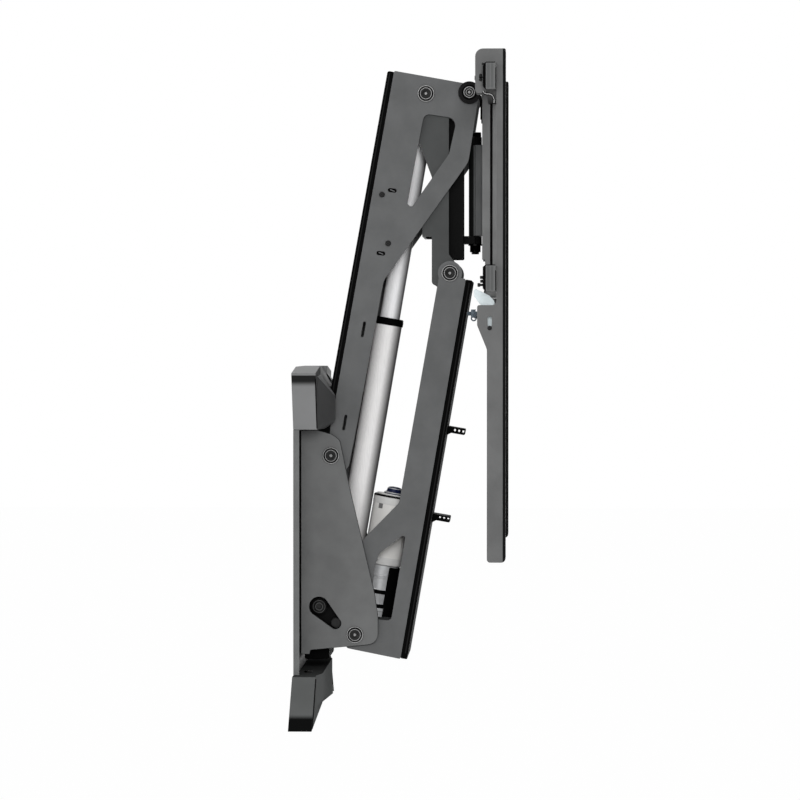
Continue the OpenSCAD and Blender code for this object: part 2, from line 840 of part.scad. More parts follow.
module rail_outline() {
    r = rail_front;
    g = seat_gap;
    ledge = lower_bar_z - bar_h / 2 - 11.6;
    low = rail_top - rail_len;
    translate(pb) difference() {
        polygon(soft([
            [r, rail_top, 1.5], [bar_out - 9.6, rail_top, 7], [bar_out - 9.6, -11, 3], [bar_out - g, -11, 1],
            [bar_out - g, upper_bar_z + bar_h / 2 + g, 0], [bar_front + g, upper_bar_z + bar_h / 2 + g, 0],
            [bar_front + g, ledge, 4], [bar_out - 7.8, ledge, 2], [bar_out - 7.8, ledge - 18, 3],
            [bar_out + 0.9, ledge - 39.4, 6], [bar_out + 0.9, low, 3], [r, low, 4]
        ]));
        arm_slot([bar_out + 3.5, ledge - 14.6], 1.95, 9.6, 0);
        translate([bar_out - 4.6, upper_bar_z]) circle(1.7);
        translate([bar_out - 2.8, upper_bar_z + 11.4]) circle(1.2);
    }
}

module rail() {
    x = rail_half - rail_w / 2;
    low = rail_top - rail_len;
    ledge = lower_bar_z - bar_h / 2 - 11.6;
    hook = bar_out - 9.6;
    mid_z = pb.y + rail_top - rail_len / 2;
    color([0.42, 0.43, 0.43]) difference() {
        union() {
            side(x, rail_t) rail_outline();
            side(x + rail_w - rail_t, rail_t) rail_outline();
            block(x, pb.x + rail_front - rail_t, pb.y + low + 7, rail_w, rail_t, rail_len - 14);
            block(x, pb.x + hook, pb.y - 3, rail_w, rail_t, 12);
            block(x, pb.x + bar_out - 7.8, pb.y + ledge - 12, rail_w, rail_t, 7.2);
        }
        for (z = [-1, 1], k = [1, 0.75, 0.5, 0.25])
            bar_y(rail_half, mid_z + z * k * screen_bolt_z / 2, screen_bolt_r, pb.x + rail_front - 4, 8);
        bar_y(rail_half, pb.y + upper_bar_z, 2, pb.x + hook - 1, 6);
        bar_y(rail_half, pb.y + ledge - 7.5, 2, pb.x + bar_out - 9, 6);
        bar_x(pb + pawl_pivot, pawl_pin_r, x + 1, rail_w - 2);
    }
}

module rail_right() { rail(); }
module rail_left() { mirror([1, 0, 0]) rail(); }

// A levelling screw through the hook bears on the upper bar
module level_screw() {
    tip = pb.x + bar_out - seat_gap;
    color(black) difference() {
        bar_y(rail_half, pb.y + upper_bar_z, 2, tip - 10, 10);
        translate([rail_half, -tip + 10.5, pb.y + upper_bar_z]) rotate([90, 0, 0])
            cylinder(r = 1.1, h = 3, $fn = 6);
    }
}

module level_screw_right() { level_screw(); }
module level_screw_left() { mirror([1, 0, 0]) level_screw(); }

module lock_stud() {
    z = pb.y + lower_bar_z - bar_h / 2 - 19.1;
    p = pb.x + bar_out - 7.8;
    color(zinc) {
        bar_y(rail_half, z, 2, p - 9, 12);
        hex_y(rail_half, z, 4.4, p - 7, 3.2);
        bar_y(rail_half, z, 3.4, p - 1.2, 1.2);
        translate([rail_half, -p + 3.2, z - 4.2]) rotate([0, 90, 0]) rotate_extrude()
            translate([2.1, 0]) circle(0.7, $fn = 16);
    }
}

module lock_stud_right() { lock_stud(); }
module lock_stud_left() { mirror([1, 0, 0]) lock_stud(); }

module pawl_pin() {
    color(zinc) bar_x(pb + pawl_pivot, pawl_pin_r, rail_half - rail_w / 2 + 1, rail_w - 2);
}

module pawl_pin_right() { pawl_pin(); }
module pawl_pin_left() { mirror([1, 0, 0]) pawl_pin(); }

// The pawl's nose stands behind the lower bar and keeps the rail on it
module pawl() {
    bar_low = lower_bar_z - bar_h / 2;
    color(pale) difference() {
        side(rail_half - 5, 10) translate(pb) polygon(soft([
            [bar_out - 10.8, bar_low + 3.7, 1.5], [bar_out - 1.6, bar_low - 0.6, 1],
            [bar_out + 3, bar_low - 3, 2], [bar_out + 7.6, bar_low - 8, 3], [bar_out + 7.4, bar_low - 32, 3],
            [bar_out + 0.6, bar_low - 32, 2], [bar_out - 0.6, bar_low - 17, 3], [bar_out - 3.6, bar_low - 13.2, 2], [bar_out - 10.8, bar_low - 3.4, 2]
        ]));
        bar_x(pb + pawl_pivot, pawl_pin_r + run_gap, rail_half - 6, 12);
    }
}

module pawl_right() { pawl(); }
module pawl_left() { mirror([1, 0, 0]) pawl(); }

// Actuator: Z runs along its axis from the rear pin, and the motor lies in front

module on_actuator() {
    translate([0, -pin_at.x, pin_at.y]) rotate([act_tilt, 0, 0]) children();
}

housing_low = 10.5;
housing_top = 18.5;
module actuator_tube() {
    color(pale) on_actuator() difference() {
        translate([0, 0, housing_top]) cylinder(r = tube_r, h = tube_top - housing_top);
        translate([0, 0, housing_top + 3]) cylinder(r = tube_r - tube_wall, h = tube_top);
        translate([0, 0, housing_top - 1]) cylinder(r = 4, h = 6);
    }
}

module tube_collar() {
    color(black) on_actuator() difference() {
        union() {
            translate([0, 0, tube_top]) cylinder(r = tube_r + 0.8, h = 5);
            translate([0, 0, tube_top + 5]) cylinder(r1 = tube_r + 0.8, r2 = tube_r - 0.4, h = 1.5);
        }
        translate([0, 0, tube_top - 1]) cylinder(r = rod_r + run_gap, h = 10);
    }
}

module gearbox_housing() {
    r1 = tube_r + 1;
    r2 = motor_r + 3.5;
    thick = housing_top - housing_low;
    color(black) on_actuator() difference() {
        union() {
            translate([0, 0, housing_low]) cylinder(r = r1, h = thick);
            translate([0, -motor_off, housing_low]) cylinder(r = r2, h = thick);
            translate([0, 0, housing_low]) linear_extrude(thick)
                polygon([[-r1, 0], [r1, 0], [r2, -motor_off], [-r2, -motor_off]]);
            translate([0, -motor_off, housing_top - 1]) difference() {
                cylinder(r = r2, h = 40);
                translate([0, 0, -1]) cylinder(r = motor_r, h = 42);
                translate([-30, -8, -1]) cube([60, 60, 42]);
            }
        }
        translate([0, 0, housing_low + 3]) cylinder(r = 4, h = 20);
    }
}

// Stacked rings of the gear stage, from the housing to the motor can
module gear_stage() {
    rings = [[0, 12.5, motor_r - 1.2], [12.5, 16.5, motor_r - 0.2], [16.5, 28, motor_r - 1.2],
        [28, 29.5, motor_r - 2.4], [29.5, 40, motor_r - 1.2]];
    color(zinc) on_actuator() translate([0, -motor_off, housing_top]) for (q = rings)
        translate([0, 0, q[0]]) cylinder(r = q[2], h = q[1] - q[0]);
}

module motor_can() {
    low = housing_top + 40;
    color(pale) on_actuator() translate([0, -motor_off, 0]) {
        translate([0, 0, low]) cylinder(r = motor_r, h = motor_top - low - 2);
        translate([0, 0, motor_top - 2]) cylinder(r = motor_r - 2, h = 2);
    }
}

module motor_cap() {
    color([0.07, 0.09, 0.2]) on_actuator() translate([0, -motor_off, motor_top]) difference() {
        union() {
            cylinder(r = 8.5, h = 5);
            translate([0, 0, 5]) cylinder(r = 6.5, h = 5);
        }
        translate([0, 0, 6]) cylinder(r = 3, h = 5);
    }
}

module rear_eye() {
    color(zinc) on_actuator() difference() {
        union() {
            translate([-eye_half, 0, 0]) rotate([0, 90, 0]) cylinder(r = 9.5, h = 2 * eye_half);
            translate([-eye_half, -9.5, 0]) cube([2 * eye_half, 19, housing_low]);
        }
        translate([-20, 0, 0]) rotate([0, 90, 0]) cylinder(r = 5 + run_gap, h = 40);
    }
}

screw_r = 3;
nut_low = tube_top - 44;
nut_len = 15;
module lead_screw() {
    color(zinc) on_actuator() {
        translate([0, 0, housing_low + 3]) cylinder(r = 3.9, h = housing_top - housing_low);
        translate([0, 0, housing_top + 2]) cylinder(r = screw_r, h = tube_top - housing_top - 12);
    }
}

module drive_nut() {
    color([0.85, 0.83, 0.72]) on_actuator() translate([0, 0, nut_low]) difference() {
        cylinder(r = tube_r - tube_wall - 0.1, h = nut_len);
        translate([0, 0, -1]) cylinder(r = screw_r + 0.3, h = nut_len + 2);
    }
}

module piston_rod() {
    low = nut_low + nut_len;
    top = act_len - 12.7;
    color(pale) on_actuator() difference() {
        translate([0, 0, low]) cylinder(r = rod_r, h = top - low);
        translate([0, 0, low - 1]) cylinder(r = 5, h = top - low - 20);
    }
}

module rod_eye() {
    color(zinc) on_actuator() translate([0, 0, act_len]) difference() {
        union() {
            translate([-eye_half + 0.2, 0, 0]) rotate([0, 90, 0]) cylinder(r = 12.5, h = 2 * eye_half - 0.4);
            translate([0, 0, -22]) difference() {
                cylinder(r = rod_r + 0.2, h = 18);
                translate([0, 0, -1]) cylinder(r = rod_r, h = 11);
            }
        }
        translate([-20, 0, 0]) rotate([0, 90, 0]) cylinder(r = 5, h = 40);
    }
}

wall_plate();
wall_bracket();
upper_cover();
lower_cover();
cover_screws();
control_box();
anchor_bracket();
anchor_pin();
anchor_bolts();
pivot_bolts_a();
pivot_bolts_d();
upper_arm();
upper_cable_cover();
upper_arm_bushes();
roller_screws();
roller_hub_left();
roller_tyre_left();
roller_hub_right();
roller_tyre_right();
lower_arm();
lower_cable_cover();
cable_clips();
lower_arm_bushes();
link_bracket();
swivel_bracket();
pivot_bolts_b();
pivot_bolts_c();
rod_spacers();
swivel_bolt();
swivel_knuckle();
head_plate();
head_bolts();
upper_bar();
lower_bar();
bar_end_caps();
wear_pads();
rail_left();
rail_right();
level_screw_left();
level_screw_right();
lock_stud_left();
lock_stud_right();
pawl_pin_left();
pawl_pin_right();
pawl_left();
pawl_right();
actuator_tube();
tube_collar();
gearbox_housing();
gear_stage();
motor_can();
motor_cap();
rear_eye();
lead_screw();
piston_rod();
rod_eye();
drive_nut();
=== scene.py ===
"""Looks for the motor-driven pull-down wall mount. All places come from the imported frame, in metres."""

import json
import math

import bmesh
import bpy
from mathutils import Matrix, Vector

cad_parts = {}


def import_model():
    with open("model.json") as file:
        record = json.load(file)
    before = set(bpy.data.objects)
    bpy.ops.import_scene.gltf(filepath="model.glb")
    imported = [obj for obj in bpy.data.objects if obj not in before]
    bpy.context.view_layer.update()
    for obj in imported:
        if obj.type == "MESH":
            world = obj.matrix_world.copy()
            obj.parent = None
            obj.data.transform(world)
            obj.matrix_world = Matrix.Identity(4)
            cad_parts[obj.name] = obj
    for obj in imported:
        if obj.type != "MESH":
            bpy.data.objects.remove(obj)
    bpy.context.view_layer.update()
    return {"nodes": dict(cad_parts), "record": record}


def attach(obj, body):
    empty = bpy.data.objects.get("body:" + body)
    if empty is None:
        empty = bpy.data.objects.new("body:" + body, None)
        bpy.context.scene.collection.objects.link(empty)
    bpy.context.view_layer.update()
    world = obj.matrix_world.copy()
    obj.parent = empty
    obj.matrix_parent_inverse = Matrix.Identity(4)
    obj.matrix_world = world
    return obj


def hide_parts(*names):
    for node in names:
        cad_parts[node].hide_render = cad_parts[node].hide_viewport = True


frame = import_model()
nodes = frame["nodes"]

MM = 0.001
BLACK = (0.002, 0.002, 0.002)
WEAR_AND_HIGHLIGHT_RADIUS = 0.7 * MM

# Viewpoint of the photograph: it looks along +X from the mount's left side
CAMERA_AT = Vector((-3.350, -0.2184, 0.1944))
CAMERA_YAW = math.radians(2.11)
CAMERA_PITCH = math.radians(-0.94)
CAMERA_LENS = 158.7
FLOOR_Z = -0.62


def node_tree(material):
    """The nodes of a material, which it now uses."""
    material.use_nodes = True
    return material.node_tree


def add(tree, kind, **inputs):
    """Adds a node and sets its input values by name."""
    made = tree.nodes.new(kind)
    for name, value in inputs.items():
        made.inputs[name.replace("_", " ")].default_value = value
    return made


def shader_of(tree):
    """The principled shader of a material's nodes."""
    return next(n for n in tree.nodes if n.type == "BSDF_PRINCIPLED")


def object_point(tree, scale=(1, 1, 1)):
    """The surface point in metres, stretched by scale."""
    coordinates = tree.nodes.new("ShaderNodeTexCoord")
    mapping = tree.nodes.new("ShaderNodeMapping")
    mapping.inputs["Scale"].default_value = scale
    tree.links.new(coordinates.outputs["Object"], mapping.inputs["Vector"])
    return mapping.outputs["Vector"]


def noise(tree, spot, scale, detail, roughness=0.55):
    """Cloud noise at a surface point. Scale is in cells per metre."""
    made = add(tree, "ShaderNodeTexNoise", Scale=scale, Detail=detail, Roughness=roughness)
    tree.links.new(spot, made.inputs["Vector"])
    return made.outputs["Fac"]


def ramp(tree, value, low, high):
    """Maps a noise value to a colour between low and high."""
    made = tree.nodes.new("ShaderNodeValToRGB")
    ends = made.color_ramp.elements
    for end, position, colour in ((ends[0], 0.35, low), (ends[1], 0.65, high)):
        end.position = position
        end.color = (*colour, 1)
    tree.links.new(value, made.inputs["Fac"])
    return made.outputs["Color"]


def spread(tree, value, low, high):
    """Maps a value from 0..1 to low..high."""
    made = add(tree, "ShaderNodeMapRange", To_Min=low, To_Max=high)
    tree.links.new(value, made.inputs["Value"])
    return made.outputs["Result"]


def bump(tree, height, strength, distance):
    """A normal that follows a height, over a distance in metres."""
    made = add(tree, "ShaderNodeBump", Strength=strength, Distance=distance)
    tree.links.new(height, made.inputs["Height"])
    return made.outputs["Normal"]


def tone(colour, factor):
    """A colour made lighter or darker by a factor."""
    return tuple(min(1.0, c * factor) for c in colour)


def mixed(tree, share, first, second):
    """Mixes two colours, each a socket or an RGB value, by a share from 0 to 1."""
    mix = tree.nodes.new("ShaderNodeMix")
    mix.data_type = "RGBA"
    tree.links.new(share, mix.inputs[0])
    for value, socket in ((first, mix.inputs[6]), (second, mix.inputs[7])):
        if isinstance(value, tuple):
            socket.default_value = (*value, 1)
        else:
            tree.links.new(value, socket)
    return mix.outputs[2]


def band(tree, axis, low, high):
    """Rises from 0 to 1 as the object coordinate on an axis goes from low to high, in metres."""
    parts = tree.nodes.new("ShaderNodeSeparateXYZ")
    tree.links.new(object_point(tree), parts.inputs[0])
    made = add(tree, "ShaderNodeMapRange", From_Min=low, From_Max=high)
    made.interpolation_type = "SMOOTHSTEP"
    tree.links.new(parts.outputs[axis], made.inputs["Value"])
    return made.outputs["Result"]


def calculated(tree, operation, *values):
    """The result of a math operation on values, each a socket or a number."""
    made = tree.nodes.new("ShaderNodeMath")
    made.operation = operation
    for value, socket in zip(values, made.inputs):
        if isinstance(value, (int, float)):
            socket.default_value = value
        else:
            tree.links.new(value, socket)
    return made.outputs[0]


def edge_wear_and_highlight(tree, colour, wear_and_highlight_colour, amount):
    """Mixes a lighter colour into the sharp edges, up to an amount from 0 to 1: partly wear from
    handling, partly a painted highlight.
    """
    rounded_normal = tree.nodes.new("ShaderNodeBevel")
    rounded_normal.samples = 4
    rounded_normal.inputs["Radius"].default_value = WEAR_AND_HIGHLIGHT_RADIUS
    geometry = tree.nodes.new("ShaderNodeNewGeometry")
    turn = tree.nodes.new("ShaderNodeVectorMath")
    turn.operation = "DOT_PRODUCT"
    tree.links.new(rounded_normal.outputs[0], turn.inputs[0])
    tree.links.new(geometry.outputs["Normal"], turn.inputs[1])
    share = add(tree, "ShaderNodeMapRange", From_Min=0.99, From_Max=0.80, To_Max=amount)
    tree.links.new(turn.outputs["Value"], share.inputs["Value"])
    return mixed(tree, share.outputs["Result"], colour, wear_and_highlight_colour)


def facing(tree, axis, low, high):
    """Rises from 0 to 1 as the surface normal's part along an axis goes from low to high.

    X counts both ways, since the mount's two sides mirror each other.
    """
    geometry = tree.nodes.new("ShaderNodeNewGeometry")
    parts = tree.nodes.new("ShaderNodeSeparateXYZ")
    tree.links.new(geometry.outputs["Normal"], parts.inputs[0])
    value = parts.outputs[axis]
    if axis == "X":
        value = calculated(tree, "ABSOLUTE", value)
    made = add(tree, "ShaderNodeMapRange", From_Min=low, From_Max=high)
    tree.links.new(value, made.inputs["Value"])
    return made.outputs["Result"]


def powder_coat(name, colour, roughness=0.42, specular=0.3, wear_and_highlight=0.35):
    """Baked powder paint: fine orange peel, faint cloudiness and lighter edges, partly wear and partly a
    painted highlight, if their amount isn't 0.
    """
    material = bpy.data.materials.new(name)
    tree = node_tree(material)
    shader = shader_of(tree)
    spot = object_point(tree)
    cloud = noise(tree, spot, scale=35, detail=5)
    base = ramp(tree, cloud, tone(colour, 0.90), tone(colour, 1.10))
    # Lighter edges: partly wear, partly a painted highlight.
    wear_and_highlight_colour = edge_wear_and_highlight(tree, base, tone(colour, 2.2), wear_and_highlight) if wear_and_highlight else base
    tree.links.new(wear_and_highlight_colour, shader.inputs["Base Color"])
    peel = noise(tree, spot, scale=1400, detail=3, roughness=0.6)
    tree.links.new(spread(tree, peel, roughness - 0.06, roughness + 0.08), shader.inputs["Roughness"])
    tree.links.new(bump(tree, peel, strength=0.22, distance=0.00025), shader.inputs["Normal"])
    shader.inputs["Specular IOR Level"].default_value = specular
    return material


def plate_coat(name, colour):
    """The side plates' paint, with painted shade: nearly black on every face that doesn't look sideways,
    such as the cut edges and inner webs.
    """
    material = powder_coat(name, colour, wear_and_highlight=0)
    tree = material.node_tree
    shader = shader_of(tree)
    paint = shader.inputs["Base Color"].links[0].from_socket
    # Painted shade: faces that don't look sideways get a near-black colour.
    unshaded_share = facing(tree, "X", 0.95, 0.998)
    painted_edge_shade = tone(colour, 0.08)
    tree.links.new(mixed(tree, unshaded_share, painted_edge_shade, paint), shader.inputs["Base Color"])
    tree.links.new(spread(tree, unshaded_share, 0.08, 0.3), shader.inputs["Specular IOR Level"])
    return material


def rail_coat(name, colour, front):
    """The rails' satin grey paint, with painted shade: black in front of the given distance from the
    wall, for their dark front edges.
    """
    material = powder_coat(name, colour)
    tree = material.node_tree
    shader = shader_of(tree)
    paint = shader.inputs["Base Color"].links[0].from_socket
    # Painted shade: everything in front of the given distance from the wall turns black.
    unshaded_share = band(tree, "Y", -front, -front + 0.2 * MM)
    tree.links.new(mixed(tree, unshaded_share, BLACK, paint), shader.inputs["Base Color"])
    tree.links.new(spread(tree, unshaded_share, 0.1, 0.3), shader.inputs["Specular IOR Level"])
    return material


def cover_coat(name, colour, dark_from, dark_to, rim, front, top, specular=0.1):
    """Textured plastic with painted light and shade: its side faces darken between two heights, stopping
    at a rim height if there is one.

    Front and top are the tones painted, as light and shade, on the faces that look away from the wall and
    up.
    """
    material = moulded(name, colour, roughness=0.45, specular=specular)
    tree = material.node_tree
    shader = shader_of(tree)
    plastic = shader.inputs["Base Color"].links[0].from_socket
    # Painted light and shade: faces that look away from the wall and faces that look up get their own
    # tones.
    plastic = mixed(tree, facing(tree, "Y", -0.15, -0.4), plastic, tone(colour, front))
    upward = calculated(tree, "MULTIPLY", facing(tree, "Z", 0.3, 0.6), facing(tree, "X", 0.45, 0.3))
    plastic = mixed(tree, upward, plastic, tone(colour, top))
    # Painted shade: a near-black band on the side faces between two heights.
    painted_shade_band = band(tree, "Z", dark_from, dark_to)
    if rim:
        painted_shade_band = calculated(tree, "MULTIPLY", painted_shade_band, band(tree, "Z", rim + 0.8 * MM, rim))
    shade = calculated(tree, "MULTIPLY", painted_shade_band, facing(tree, "X", 0.35, 0.5))
    tree.links.new(mixed(tree, shade, plastic, tone(colour, 0.05)), shader.inputs["Base Color"])
    return material


def moulded(name, colour, roughness, texture=900, depth=0.2, specular=0.3):
    """Moulded plastic with a fine spark-eroded texture of a given scale and depth."""
    material = bpy.data.materials.new(name)
    tree = node_tree(material)
    shader = shader_of(tree)
    shader.inputs["Specular IOR Level"].default_value = specular
    spot = object_point(tree)
    cloud = noise(tree, spot, scale=18, detail=3)
    base = ramp(tree, cloud, tone(colour, 0.93), tone(colour, 1.07))
    tree.links.new(base, shader.inputs["Base Color"])
    grain = noise(tree, spot, scale=texture, detail=2, roughness=0.5)
    tree.links.new(spread(tree, grain, roughness - 0.05, roughness + 0.06), shader.inputs["Roughness"])
    tree.links.new(bump(tree, grain, strength=depth, distance=0.0002), shader.inputs["Normal"])
    return material


def plated(name, colour, roughness, marks, stretch=(1, 1, 1), depth=0.05, metallic=1.0):
    """Plated or machined metal with fine marks of a given scale. A larger stretch makes them finer."""
    material = bpy.data.materials.new(name)
    tree = node_tree(material)
    shader = shader_of(tree)
    shader.inputs["Metallic"].default_value = metallic
    spot = object_point(tree, stretch)
    pattern = noise(tree, spot, scale=marks, detail=4)
    base = ramp(tree, pattern, tone(colour, 0.90), tone(colour, 1.06))
    tree.links.new(base, shader.inputs["Base Color"])
    tree.links.new(spread(tree, pattern, roughness - 0.05, roughness + 0.09), shader.inputs["Roughness"])
    tree.links.new(bump(tree, pattern, strength=depth, distance=0.0002), shader.inputs["Normal"])
    return material


def drawn_tube(name, colour, roughness, marks, stretch):
    """Drawn and polished tube, with painted shade: darker along its front, where it turns away from the
    light.
    """
    material = plated(name, colour, roughness, marks, stretch, depth=0.01, metallic=0.05)
    tree = material.node_tree
    shader = shader_of(tree)
    metal = shader.inputs["Base Color"].links[0].from_socket
    # Painted shade on the faces that look away from the wall.
    front = facing(tree, "Y", -0.30, -0.95)
    tree.links.new(mixed(tree, front, metal, tone(colour, 0.12)), shader.inputs["Base Color"])
    return material


MATERIALS = {
    "dark_steel": plate_coat("dark_steel", (0.091, 0.093, 0.094)),
    # bracket_steel and head_steel are lighter copies of the plate paint: painted light for pieces that
    # get less lamp light than the arms.
    "bracket_steel": plate_coat("bracket_steel", (0.115, 0.117, 0.117)),
    "plate_paint": powder_coat("plate_paint", (0.115, 0.117, 0.117), wear_and_highlight=0),
    "head_steel": plate_coat("head_steel", (0.155, 0.157, 0.157)),
    "link_steel": plate_coat("link_steel", (0.046, 0.048, 0.048)),
    "rail_steel": rail_coat("rail_steel", (0.104, 0.105, 0.105), front=0.1943),
    "black_steel": powder_coat("black_steel", (0.004, 0.004, 0.004), 0.4, specular=0.05, wear_and_highlight=0.1),
    "bar_steel": powder_coat("bar_steel", (0.036, 0.037, 0.037), specular=0.15),
    # The covers' front and top tones and their dark bands are painted light and shade.
    "upper_cover": cover_coat("upper_cover", (0.178, 0.180, 0.182), dark_from=0.153, dark_to=0.159,
                              rim=0.1635, front=0.42, top=1.25),
    "lower_cover": cover_coat("lower_cover", (0.108, 0.112, 0.111), dark_from=-0.1435, dark_to=-0.1480,
                              rim=None, front=1.6, top=0.5, specular=0.0),
    "cover_plastic": moulded("cover_plastic", (0.110, 0.112, 0.112), 0.45),
    # The ribs' darker tone is painted shade.
    "rib_painted_shade": moulded("rib_painted_shade", (0.080, 0.082, 0.082), 0.45),
    "black_plastic": moulded("black_plastic", BLACK, 0.5, specular=0.02),
    "bead_plastic": moulded("bead_plastic", (0.010, 0.010, 0.010), 0.5, specular=0.05),
    "cap_plastic": moulded("cap_plastic", (0.006, 0.010, 0.040), 0.3),
    "nut_plastic": moulded("nut_plastic", (0.75, 0.72, 0.60), 0.45),
    "roller_rubber": moulded("roller_rubber", (0.008, 0.008, 0.008), 0.72, texture=500, depth=0.35,
                             specular=0.1),
    "motor_steel": moulded("motor_steel", (0.60, 0.60, 0.59), 0.35, texture=300, depth=0.05),
    "label_film": moulded("label_film", (0.70, 0.69, 0.67), 0.4, texture=300, depth=0.03),
    "label_grey": moulded("label_grey", (0.16, 0.16, 0.16), 0.4, texture=300, depth=0.03),
    "black_bolt": plated("black_bolt", (0.030, 0.030, 0.030), 0.30, marks=300),
    "zinc_steel": plated("zinc_steel", (0.62, 0.63, 0.64), 0.38, marks=220, metallic=0.4),
    "rim_zinc": plated("rim_zinc", (0.34, 0.34, 0.34), 0.4, marks=220, metallic=0.3),
    "dark_zinc": plated("dark_zinc", (0.13, 0.13, 0.13), 0.32, marks=220),
    "lock_zinc": plated("lock_zinc", (0.07, 0.09, 0.11), 0.35, marks=220, metallic=0.3),
    "pale_zinc": plated("pale_zinc", (0.66, 0.73, 0.75), 0.4, marks=160, metallic=0.4),
    "tube_aluminium": drawn_tube("tube_aluminium", (0.88, 0.87, 0.865), 0.45, marks=60,
                                 stretch=(60, 60, 1)),
    "rod_chrome": drawn_tube("rod_chrome", (0.93, 0.93, 0.94), 0.3, marks=120, stretch=(30, 30, 1)),
}
# Pieces whose finish departs from the rest of their slot
OWN_FINISH = {
    "wall_bracket": "bracket_steel", "wall_plate": "plate_paint", "upper_cover": "upper_cover",
    "lower_cover": "lower_cover", "link_bracket": "link_steel", "anchor_pin": "black_bolt",
    "upper_bar": "bar_steel", "lower_bar": "bar_steel", "head_plate": "head_steel",
    # The anchor bracket is black: painted shade for the inside of the cheeks' slots.
    "anchor_bracket": "black_steel",
}


SHARP_ANGLE = math.radians(32)


def clean_group():
    """A node group that joins the faces of a CAD mesh and marks its sharp edges by their angle."""
    group = bpy.data.node_groups.new("clean_faces", "GeometryNodeTree")
    group.interface.new_socket("Geometry", in_out="INPUT", socket_type="NodeSocketGeometry")
    group.interface.new_socket("Geometry", in_out="OUTPUT", socket_type="NodeSocketGeometry")
    start = group.nodes.new("NodeGroupInput")
    end = group.nodes.new("NodeGroupOutput")
    merge = group.nodes.new("GeometryNodeMergeByDistance")
    merge.inputs["Distance"].default_value = 0.01 * MM
    angle = group.nodes.new("GeometryNodeInputMeshEdgeAngle")
    sharp = calculated(group, "GREATER_THAN", angle.outputs["Unsigned Angle"], SHARP_ANGLE)
    normals = group.nodes.new("GeometryNodeSetMeshNormal")
    normals.mode = "SHARPNESS"
    normals.inputs["Remove Custom"].default_value = True
    group.links.new(start.outputs[0], merge.inputs["Geometry"])
    group.links.new(merge.outputs[0], normals.inputs["Mesh"])
    group.links.new(sharp, normals.inputs["Edge Sharpness"])
    group.links.new(normals.outputs[0], end.inputs[0])
    return group


CLEAN = clean_group()


def soften(obj, width):
    """Rounds the sharp edges of a CAD piece a little, so that they catch the light."""
    clean = obj.modifiers.new("clean", "NODES")
    clean.node_group = CLEAN
    flat = obj.modifiers.new("flat", "DECIMATE")
    flat.decimate_type = "DISSOLVE"
    flat.angle_limit = math.radians(0.4)
    bevel = obj.modifiers.new("edges", "BEVEL")
    bevel.width = width
    bevel.segments = 2
    bevel.limit_method = "ANGLE"
    bevel.angle_limit = SHARP_ANGLE
    bevel.use_clamp_overlap = True
    bevel.harden_normals = True


# Widths of the rounded edges, in millimetres
EDGE_WIDTHS = {
    "upper_cover": 1.6, "lower_cover": 1.6, "wall_bracket": 1.0, "upper_arm": 1.1, "lower_arm": 1.1,
    "rail_left": 0.5, "rail_right": 0.5, "upper_cable_cover": 0.8, "lower_cable_cover": 0.8,
    "link_bracket": 0.7, "swivel_bracket": 0.6, "upper_bar": 0.6, "lower_bar": 0.6, "bar_end_caps": 0.7,
    "wall_plate": 0.4, "head_plate": 0.4, "control_box": 0.8, "gearbox_housing": 0.8, "motor_can": 0.7,
    "motor_cap": 0.6, "pawl_left": 0.4, "pawl_right": 0.4, "cable_clips": 0.3, "rod_eye": 0.6,
}
SMALL_EDGE = 0.25


def dress_nodes():
    """Gives every CAD piece its material and its rounded edges."""
    slots = {row["node"]: row["material_slot"] for row in frame["record"]["subparts"]}
    for name, obj in nodes.items():
        obj.data.materials.clear()
        obj.data.materials.append(MATERIALS[OWN_FINISH.get(name, slots[name])])
        soften(obj, EDGE_WIDTHS.get(name, SMALL_EDGE) * MM)


# Shared places, in millimetres. A pair is (p, z), with p measured from the wall.
PIVOT_A = (32.3, 88.2)
PIVOT_D = (54.7, -79.6)
LEAN = math.radians(14.7)
ARM = 350
PIVOT_B = (PIVOT_A[0] + ARM * math.sin(LEAN), PIVOT_A[1] + ARM * math.cos(LEAN))
PIVOT_C = (PIVOT_D[0] + ARM * math.sin(LEAN), PIVOT_D[1] + ARM * math.cos(LEAN))
ROLLER = (PIVOT_B[0] + 40.7, PIVOT_B[1] + 0.4)
PIN = (36.5, -69.0)
ANCHOR_BOLT = (PIN[0] - 15.5, PIN[1] + 15.8)
TUBE_TILT = math.atan2(PIVOT_B[0] - PIN[0], PIVOT_B[1] - PIN[1])
# How far the motor's axis stands in front of the tube's
MOTOR_OFF = 32
# The cross bars: their rear faces, the heights of their middles, and half their height
BAR_FACE = PIVOT_B[0] + 58.1
UPPER_BAR = PIVOT_B[1] + 3.2
LOWER_BAR = UPPER_BAR - 179
BAR_HALF = 12
# Outer faces, from the middle outward
LINK_X = 45
ARM_X = 49.5
CHEEK_X = 55
ANCHOR_X = 51
LINK_BOLT_X = ARM_X + 0.2
ROLLER_SCREW_X = ARM_X + 0.6
RAIL_X = 200
RAIL_OUTER_X = 214.2
BAR_END_X = 230.4
BOTH = (1, -1)
NAMED_SIDES = (("left", -1), ("right", 1))


def point(x, p, z):
    """A place in metres from millimetres across, out from the wall and up."""
    return Vector((x, -p, z)) * MM


def piece(name, vertices, faces, slot, body, smooth=True, material=None):
    """A new mesh piece, given in metres, with its slot, its body and its own finish, if any."""
    mesh = bpy.data.meshes.new(name)
    mesh.from_pydata(vertices, [], faces)
    shape = bmesh.new()
    shape.from_mesh(mesh)
    bmesh.ops.remove_doubles(shape, verts=shape.verts, dist=1e-7)
    bmesh.ops.recalc_face_normals(shape, faces=shape.faces)
    shape.to_mesh(mesh)
    shape.free()
    made = bpy.data.objects.new(name, mesh)
    bpy.context.scene.collection.objects.link(made)
    mesh.materials.append(MATERIALS[material or slot])
    if smooth:
        mesh.shade_smooth()
        mesh.set_sharp_from_angle(angle=SHARP_ANGLE)
    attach(made, body)
    return made


